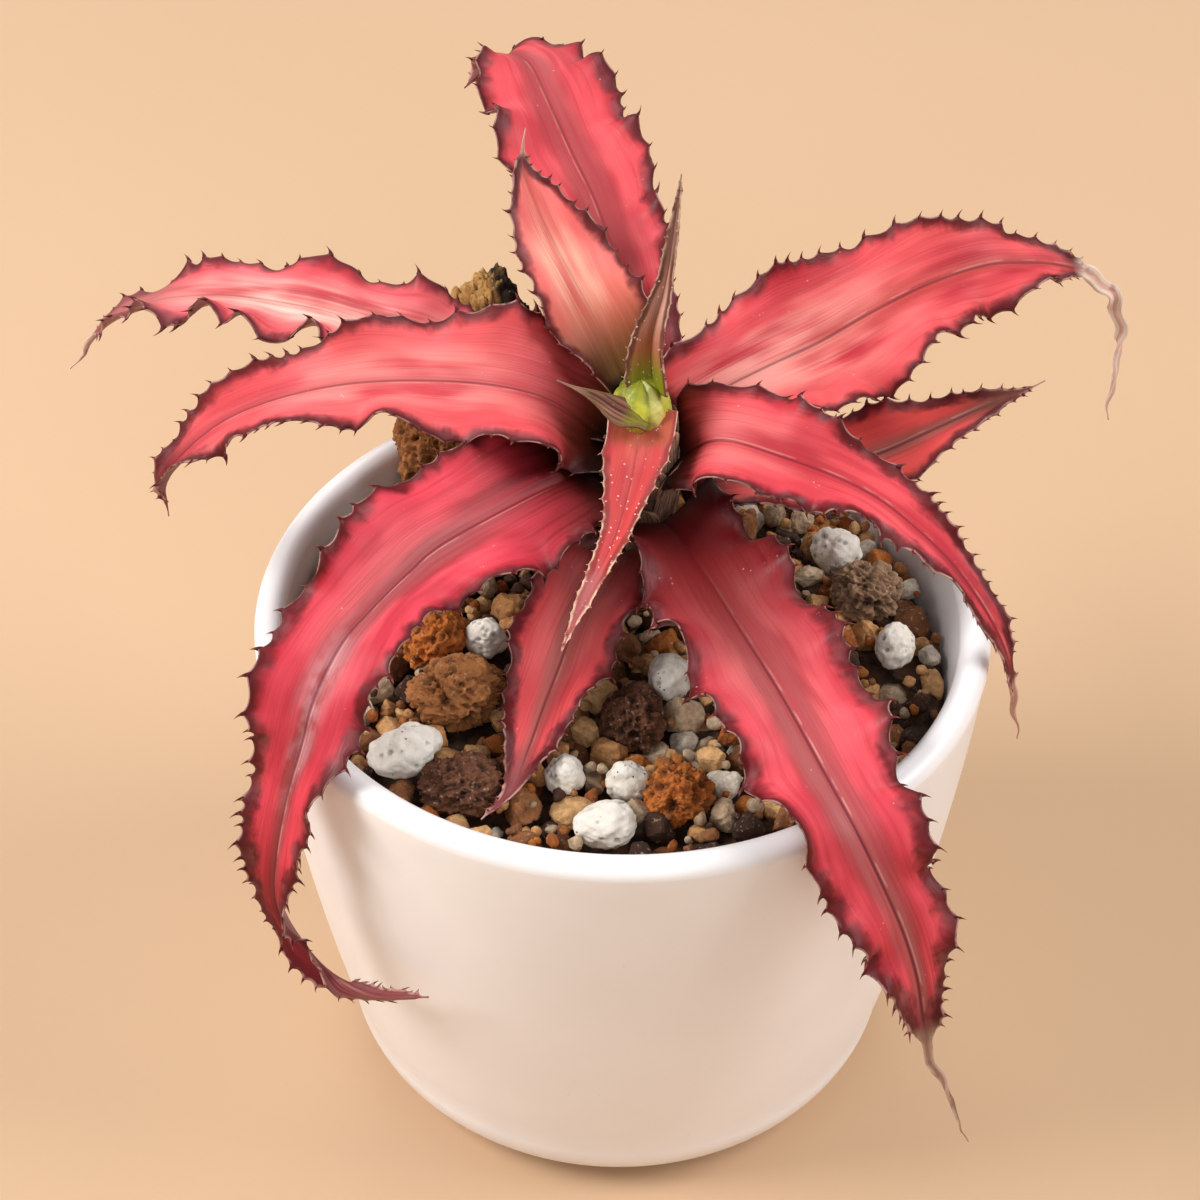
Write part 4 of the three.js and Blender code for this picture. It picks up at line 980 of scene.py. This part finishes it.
# angle, width in radians and rise of the folds up the heart's side
HEART_FOLDS = [(-1.34, 0.07, -0.05), (-0.95, 0.2, 0.06), (-0.5, 0.12, -0.05), (0.6, 0.3, 0.03),
               (1.7, 0.2, -0.07), (-2.2, 0.3, 0.03), (2.6, 0.2, -0.05)]


def build_heart():
    """The bulb of young sheaths: soft folds, and the rolled edges of two sheaths round it."""
    directions, triangles = ball(5)
    angle = np.arctan2(directions[:, 1], directions[:, 0])
    height = directions[:, 2]
    scale = 0.97 + 0.03 * wobble(directions, 4, 1.1)
    for place, width, rise in HEART_FOLDS:
        apart = np.angle(np.exp(1j * (angle - place - 0.2 * height)))
        scale += rise * np.exp(-(apart / width) ** 2) * smooth_step(height, -0.8, 0.1)
    over = height + 0.3 - 0.4 * np.cos(angle - 0.6)
    scale += 0.045 * smooth_step(over, 0.06, -0.02) + 0.012 * wobble(directions, 8, 0.35, 2)
    half = np.array((HEART["radius"], HEART["radius"], HEART["half_height"]))
    points = directions * scale[:, None] * half
    points[:, 2] = np.maximum(points[:, 2], STEM["top"] + 0.4 - HEART["middle"])
    points += (STEM["x"] + HEART["x"], STEM["y"] + HEART["y"], HEART["middle"])
    make_piece("green_heart", points, triangles.tolist(), "heart",
               heart_material(), dict(rise=height, band=angle))


# Materials.

class Shade:
    """One procedural material round a Principled shader."""

    def __init__(self, name, **fixed):
        self.material = bpy.data.materials.new(name)
        self.material.use_nodes = True
        self.tree = self.material.node_tree
        self.tree.nodes.clear()
        output = self.tree.nodes.new("ShaderNodeOutputMaterial")
        self.shader = self.tree.nodes.new("ShaderNodeBsdfPrincipled")
        self.tree.links.new(self.shader.outputs[0], output.inputs[0])
        for key, value in fixed.items():
            self.shader.inputs[key.replace("_", " ")].default_value = value

    def put(self, socket, value):
        if isinstance(value, bpy.types.NodeSocket):
            self.tree.links.new(value, socket)
        elif isinstance(value, (tuple, list, np.ndarray)) and socket.type == "RGBA":
            socket.default_value = (*srgb(value), 1.0)
        else:
            socket.default_value = value

    def node(self, kind, inputs=(), out=0, **settings):
        made = self.tree.nodes.new("ShaderNode" + kind)
        for key, value in settings.items():
            setattr(made, key, value)
        for key, value in dict(inputs).items():
            self.put(made.inputs[key], value)
        return made.outputs[out]

    def attribute(self, name, out="Fac"):
        return self.node("Attribute", out=out, attribute_name=name)

    def math(self, operation, a, b=0.0):
        return self.node("Math", {0: a, 1: b}, operation=operation)

    def times(self, *values):
        total = values[0]
        for value in values[1:]:
            total = self.math("MULTIPLY", total, value)
        return total

    def plus(self, a, b):
        return self.math("ADD", a, b)

    def away(self, value, middle):
        """How far a value is from a middle one."""
        return self.math("ABSOLUTE", self.math("SUBTRACT", value, middle))

    def swing(self, noise, amount):
        """A noise round 0.5 as a swing round nought."""
        return self.times(self.math("SUBTRACT", noise, 0.5), amount)

    def step(self, value, low, high):
        """0 at low, 1 at high and smooth between them; high may be the smaller one."""
        inputs = {"Value": value, "From Min": low, "From Max": high}
        return self.node("MapRange", inputs, interpolation_type="SMOOTHSTEP")

    def mix(self, share, a, b):
        made = self.tree.nodes.new("ShaderNodeMix")
        made.data_type = "RGBA"
        for socket, value in ((made.inputs[0], share), (made.inputs[6], a), (made.inputs[7], b)):
            self.put(socket, value)
        return made.outputs[2]

    def over(self, colour, top, share, strength=None):
        """A colour with another laid over it, by a share and a strength."""
        return self.mix(share if strength is None else self.times(share, strength), colour, top)

    def vector(self, x, y, z):
        return self.node("CombineXYZ", {0: x, 1: y, 2: z})

    def noise(self, vector, scale, detail=3.0, roughness=0.55):
        inputs = {"Vector": vector, "Scale": scale, "Detail": detail, "Roughness": roughness}
        return self.node("TexNoise", inputs)

    def cells(self, vector, scale):
        return self.node("TexVoronoi", {"Vector": vector, "Scale": scale})

    def place(self):
        return self.node("TexCoord", out="Object")

    def relief(self, height, strength, distance):
        inputs = {"Height": height, "Strength": strength, "Distance": distance}
        self.put(self.shader.inputs["Normal"], self.node("Bump", inputs, out="Normal"))

    def finish(self, colour, roughness=None):
        self.put(self.shader.inputs["Base Color"], colour)
        if roughness is not None:
            self.put(self.shader.inputs["Roughness"], roughness)
        return self.material


@cache
def glaze_material():
    s = Shade("white_glaze", Coat_Weight=0.25, Coat_Roughness=0.3)
    place = s.place()
    cloud = s.noise(place, 22.0)
    colour = s.mix(s.step(cloud, 0.35, 0.65), (240, 238, 239), (245, 243, 244))
    specks = s.step(s.cells(place, 420.0), 0.085, 0.05)
    rare = s.times(specks, s.step(s.noise(place, 140.0), 0.6, 0.64))
    colour = s.over(colour, (190, 178, 162), rare, 0.25)
    s.relief(s.noise(place, 90.0, 2.0), 0.05, 0.0006)
    return s.finish(colour, s.node("MapRange", {"Value": cloud, "To Min": 0.34, "To Max": 0.44}))


# The dark grain's share, the pits' scale, share and colour (painted shade), and the relief's
# strength.
STONE_SKINS = {
    "pumice": (0.12, 900.0, 0.9, (50, 42, 36), 0.5),
    "lava": (0.3, 1300.0, 0.6, (30, 18, 12), 0.75),
    "grit": (0.42, 1600.0, 0.5, (36, 24, 18), 0.8),
}


@cache
def stone_material(kind):
    """Grained and pitted stone, in the colour that each point carries, with painted shade in the
    pits.
    """
    dark_share, pit_scale, pit_share, pit_shade_colour, relief = STONE_SKINS[kind]
    s = Shade(kind, Roughness=0.92, Specular_IOR_Level=0.3)
    place = s.place()
    grain = s.noise(place, 900.0, 5.0, 0.65)
    tone = s.attribute("tone", "Color")
    colour = s.mix(s.step(grain, 0.36, 0.68), s.mix(dark_share, tone, (58, 38, 26)), tone)
    light = s.step(s.noise(place, 1500.0, 2.0), 0.6, 0.74)
    colour = s.over(colour, (236, 214, 180), light, 0.3)
    # Painted shade: dark dots for the pits.
    pits = s.times(s.step(s.cells(place, pit_scale), 0.16, 0.08),
                   s.step(s.noise(place, 260.0), 0.5, 0.56))
    colour = s.over(colour, pit_shade_colour, pits, pit_share)
    s.relief(s.math("SUBTRACT", grain, s.times(pits, 0.8)), relief, 0.0006)
    # Lava also gets painted shade in its hollows, where its rough attribute, the depth, is low.
    if kind == "lava":
        low = s.step(s.attribute("rough"), 0.55, 0.05)
        colour = s.over(colour, (28, 17, 12), low, 0.6)
    return s.finish(colour)


@cache
def filling_material():
    s = Shade("grit_filling", Roughness=0.95)
    noise = s.noise(s.place(), 420.0, 5.0)
    s.relief(noise, 0.8, 0.001)
    return s.finish(s.mix(s.step(noise, 0.35, 0.65), (38, 25, 18), (92, 62, 42)))


@cache
def sheath_material():
    """Dry, ribbed leaf bases, darkest where they grow from the stem."""
    s = Shade("dry_sheath", Roughness=0.8)
    rise = s.attribute("rise")
    lines = s.noise(s.vector(s.times(s.attribute("band"), 9.0), rise, 0.0), 1.6, 4.0)
    colour = s.mix(s.step(lines, 0.38, 0.62), (106, 68, 50), (196, 150, 126))
    colour = s.over(colour, (96, 66, 52), s.step(s.noise(s.place(), 240.0), 0.45, 0.6), 0.5)
    colour = s.over(colour, (54, 30, 20), s.step(rise, 0.35, 0.0), 0.45)
    s.relief(lines, 0.5, 0.0004)
    return s.finish(colour)


@cache
def heart_material():
    """Lime green, with a painted highlight along one ridge, a pale yellow ridge, a brown foot, a
    darker top and pale dots.
    """
    s = Shade("young_green", Roughness=0.42)
    place, band, rise = s.place(), s.attribute("band"), s.attribute("rise")
    cloud = s.noise(place, 300.0)
    colour = s.mix(s.step(cloud, 0.4, 0.6), (136, 144, 38), (184, 188, 70))
    # Painted highlight along the fold at -0.95 radians.
    colour = s.over(colour, (222, 216, 132), s.step(s.away(band, -0.95), 0.34, 0.1), 0.7)
    colour = s.over(colour, (216, 212, 60), s.step(s.away(band, -1.6), 0.3, 0.08), 0.6)
    colour = s.mix(s.step(rise, -0.75, 0.15), s.mix(0.75, colour, (104, 84, 22)), colour)
    colour = s.over(colour, (112, 116, 20), s.step(rise, 0.45, 0.85), 0.6)
    colour = s.over(colour, (236, 226, 170), s.step(s.cells(place, 1400.0), 0.2, 0.1), 0.35)
    s.relief(cloud, 0.2, 0.0004)
    return s.finish(colour)


# Noises drawn out along the blade: what they run across, how fast they change along it and
# across it, where they start, and their detail.
LEAF_NOISES = dict(broad=("cross", 0.06, 0.2, 0.0, 2.0), streak=("cross", 0.035, 1.2, 3.1, 3.0),
                   fine=("cross", 0.05, 5.0, 6.7, 2.0), blotch=("cross", 0.22, 0.4, 9.9, 3.0),
                   border=("lane", 0.3, 2.0, 12.4, 3.0))


def leaf_fields(s, seed):
    """What the blade's points carry, with the noises."""
    keys = ("lane", "cross", "edge", "run", "share", "dry", "under", "spine")
    f = SimpleNamespace(**{key: s.attribute(key) for key in keys})
    f.place = s.place()
    f.reach = s.math("ABSOLUTE", f.lane)
    for key, (across, along, over, start, detail) in LEAF_NOISES.items():
        at = s.vector(s.times(f.run, along), s.times(getattr(f, across), over), seed * 7.3 + start)
        setattr(f, key, s.noise(at, 1.0, detail))
    return f


def leaf_flesh(s, f, look):
    """Painted highlight in bands and a glow, dark streaks, the grey stripe, fine lines, the
    midrib.
    """
    body = s.mix(s.step(f.broad, 0.34, 0.6), look["deep"], look["bright"])
    # Painted highlight: brighter bands across the blade's sides.
    band = s.times(s.step(f.reach, 0.28, 0.55), s.step(f.reach, 0.98, 0.75))
    body = s.over(body, look["bright"], band, 0.45)
    body = s.over(body, look["deep"], s.step(f.streak, 0.5, 0.64), 0.36)
    # Painted highlight: a creamy glow laid on the blade's middle.
    amount, middle, spread = look["painted_highlight"]
    highlight_share = s.times(s.step(s.away(f.share, middle), spread, spread * 0.1),
                   s.step(f.reach, 0.85, 0.2),
                   s.step(s.plus(f.broad, s.swing(f.streak, 0.5)), 0.3, 0.65))
    body = s.over(body, look["painted_highlight_colour"], highlight_share, amount)

    half, start = look["stripe_half"], look["stripe_from"]
    inner = s.times(s.step(s.plus(f.reach, s.swing(f.broad, 0.35)), half + 0.2, half - 0.16),
                    s.step(f.share, start - 0.08, start + 0.12))
    stripe = s.mix(s.step(f.streak, 0.36, 0.62), look["stripe"],
                   s.mix(0.45, look["stripe"], look["deep"]))
    # Painted sheen: a silvery patch on the stripe, at a given share of the length.
    amount, middle, spread = look["painted_sheen"]
    painted_sheen = s.times(s.step(s.away(f.share, middle), spread, spread * 0.2),
                    s.step(f.blotch, 0.36, 0.6))
    stripe = s.over(stripe, look["painted_sheen_colour"], painted_sheen, amount)
    body = s.over(body, stripe, inner, look["stripe_share"])

    lines = s.times(s.step(f.fine, 0.54, 0.7), s.step(f.reach, 0.7, 0.25))
    body = s.over(body, look["line"], lines, 0.28)
    if look["grooves"] > 0:
        wave = s.math("SINE", s.times(f.cross, 7.0))
        body = s.over(body, look["groove"], s.step(wave, 0.2, -0.7), look["grooves"])
    # Painted shade darkens the midrib's groove, and a painted highlight runs beside it.
    rib = s.step(s.math("ABSOLUTE", f.cross), 0.34, 0.08)
    body = s.over(body, look["crease_painted_shade"], rib, look["crease"])
    beside_crease_highlight = s.times(s.step(s.away(f.cross, 0.45), 0.22, 0.05), s.step(f.blotch, 0.42, 0.56))
    return s.over(body, look["crease_painted_highlight"], beside_crease_highlight, 0.75 * look["crease"])


def leaf_ends_and_margin(s, f, look, body):
    """The base's colours, the tip's, and the dusky border that ends in a horny edge."""
    start = s.plus(f.share, s.swing(f.streak, 0.1))
    flush = s.step(start, look["flush_end"], look["flush_end"] * 0.4)
    body = s.over(body, look["flush"], flush, look["flush_share"])
    body = s.over(body, look["base"], s.step(start, look["base_end"], look["base_end"] * 0.25))
    end = look["tip_from"]
    body = s.over(body, look["tip"], s.step(f.share, end - 0.08, end + 0.06), 0.8)
    width = look["margin"]
    wander = s.math("SUBTRACT", f.edge, s.swing(f.border, 3.0 * width))
    # The border's lighter blotches are partly its own grey and partly a painted sheen.
    dusky = s.mix(s.step(f.blotch, 0.46, 0.66), look["skirt"],
                  s.mix(0.25, look["skirt"], look["skirt_grey_and_sheen"]))
    body = s.over(body, dusky, s.step(wander, width * 1.5, width * 0.3), 0.92)
    return s.over(body, look["horn"], s.step(f.edge, 0.75, 0.15), 0.75)


def leaf_scurf(s, f, look):
    """The share of pale scales, more of them towards the tip where the look says so."""
    dots = s.step(s.cells(f.place, 1150.0), 0.2, 0.1)
    cover = s.plus(s.noise(f.place, 330.0), s.times(f.share, look["scurf_tip"]))
    less = 0.2 * look["scurf"]
    return s.times(dots, s.step(cover, 0.66 - less, 0.8 - less))


def leaf_underside(s, f, look, body):
    grey = s.mix(s.step(f.fine, 0.4, 0.6), look["under_dark"], look["under_light"])
    grey = s.over(grey, look["under_base"], s.step(f.share, 0.35, 0.0))
    body = s.over(body, grey, f.under, 0.75)
    end = look["tip_from"]
    return s.over(body, look["tip"], s.step(f.share, end, end + 0.1), 0.45)


def leaf_straw(s, f, look):
    """The dried end of a leaf."""
    straw = s.mix(s.step(f.fine, 0.38, 0.62), s.mix(0.25, look["dry"], look["dry_dark"]),
                  look["dry"])
    straw = s.over(straw, look["dry_core"], s.step(f.reach, 0.75, 0.2), 0.6)
    return s.over(straw, look["dry_blotch"], s.step(f.blotch, 0.54, 0.66), 0.5)


def leaf_rim_and_spines(s, f, look, body):
    rim = s.times(s.step(f.edge, 0.16, 0.05), s.step(f.spine, 0.05, 0.0),
                  s.step(s.noise(f.place, 520.0, 2.0), 0.36, 0.58))
    body = s.over(body, look["rim"], rim, look["rim_share"])
    horn = s.mix(s.step(f.spine, 0.45, 1.0), look["horn"], look["tooth_tip"])
    return s.over(body, horn, s.step(f.spine, 0.05, 0.14))


def leaf_material(name, look, seed):
    """A fleshy red leaf, from its body out to its scurf, dried end, papery rim and spines."""
    s = Shade(name, Specular_IOR_Level=0.24)
    f = leaf_fields(s, seed)
    body = leaf_ends_and_margin(s, f, look, leaf_flesh(s, f, look))
    scurf = leaf_scurf(s, f, look)
    body = s.over(body, look["scurf_colour"], scurf, 0.25 + 0.5 * look["scurf"])
    body = leaf_underside(s, f, look, body)
    body = s.over(body, leaf_straw(s, f, look), f.dry)
    dark = look["dark_end"]
    if dark > 0:
        body = s.over(body, look["shadow"], s.step(f.share, dark, dark * 0.2), 0.9)
    body = leaf_rim_and_spines(s, f, look, body)

    height = s.plus(s.times(f.fine, 0.8), s.times(scurf, 0.5))
    s.relief(s.plus(height, s.times(s.noise(f.place, 700.0), 0.25)), 0.25, 0.0004)
    rough = s.node("MapRange", {"Value": f.streak, "From Min": 0.3, "From Max": 0.7,
                                "To Min": 0.42, "To Max": 0.56})
    return s.finish(body, s.plus(rough, s.times(f.dry, 0.35)))


# Stage.

# name, place, height of its aim, size, power and colour, in metres and watts
LIGHTS = [
    ("key", (-0.62, -0.1, 0.62), 0.07, 0.42, 6.5, (1.0, 0.98, 0.96)),
    ("side", (0.95, -0.05, 0.92), 0.07, 0.75, 11.0, (1.0, 0.98, 0.97)),
    ("front", (0.1, -0.8, 0.6), 0.07, 0.7, 1.3, (1.0, 0.98, 0.97)),
    ("back", (-0.1, 0.7, 0.6), 0.08, 0.5, 1.7, (1.0, 0.98, 0.96)),
]
WORLD = dict(colour=(1.0, 0.98, 0.965, 1.0), strength=0.35)
# aim in millimetres, distance in metres, angles in degrees
CAMERA = dict(aim=(-3.1, 0, 78.5), elevation=41.5, distance=0.4, lens=88.38, roll=0.66)


def build_stage():
    mesh = bpy.data.meshes.new("floor")
    reach = 4.0
    mesh.from_pydata([(-reach, -reach, 0), (reach, -reach, 0), (reach, reach, 0),
                      (-reach, reach, 0)], [], [(0, 1, 2, 3)])
    floor = add_object("floor", mesh)
    s = Shade("floor", Roughness=0.9)
    cloud = s.step(s.noise(s.place(), 3.0, 2.0), 0.3, 0.7)
    mesh.materials.append(s.finish(s.mix(cloud, (202, 168, 134), (206, 173, 140))))


def build_lights():
    for name, at, aim, size, power, colour in LIGHTS:
        data = bpy.data.lights.new(name, "AREA")
        data.shape = "DISK"
        data.size = size
        data.energy = power
        data.color = colour
        light = add_object(name, data)
        light.location = at
        facing = Vector((0, 0, aim)) - Vector(at)
        light.rotation_euler = facing.to_track_quat("-Z", "Y").to_euler()
    world = bpy.data.worlds.new("studio")
    world.use_nodes = True
    background = world.node_tree.nodes["Background"]
    background.inputs[0].default_value = WORLD["colour"]
    background.inputs[1].default_value = WORLD["strength"]
    bpy.context.scene.world = world
    bpy.context.scene.view_settings.view_transform = "Standard"


def build_camera():
    """The camera of the reference view."""
    data = bpy.data.cameras.new("camera")
    data.lens = CAMERA["lens"]
    data.sensor_width = 36
    data.clip_start = 0.01
    camera = add_object("camera", data)
    aim = Vector(CAMERA["aim"]) * MM
    elevation = math.radians(CAMERA["elevation"])
    away = Vector((0, -math.cos(elevation), math.sin(elevation)))
    camera.location = aim + away * CAMERA["distance"]
    facing = (aim - camera.location).to_track_quat("-Z", "Y")
    roll = Matrix.Rotation(math.radians(CAMERA["roll"]), 3, "Z")
    camera.rotation_euler = (facing.to_matrix() @ roll).to_euler()
    bpy.context.scene.camera = camera


build_camera()
build_lights()
build_stage()
build_pot()
build_grit()
build_filling()
build_stones()
build_stem()
build_heart()
build_leaves()
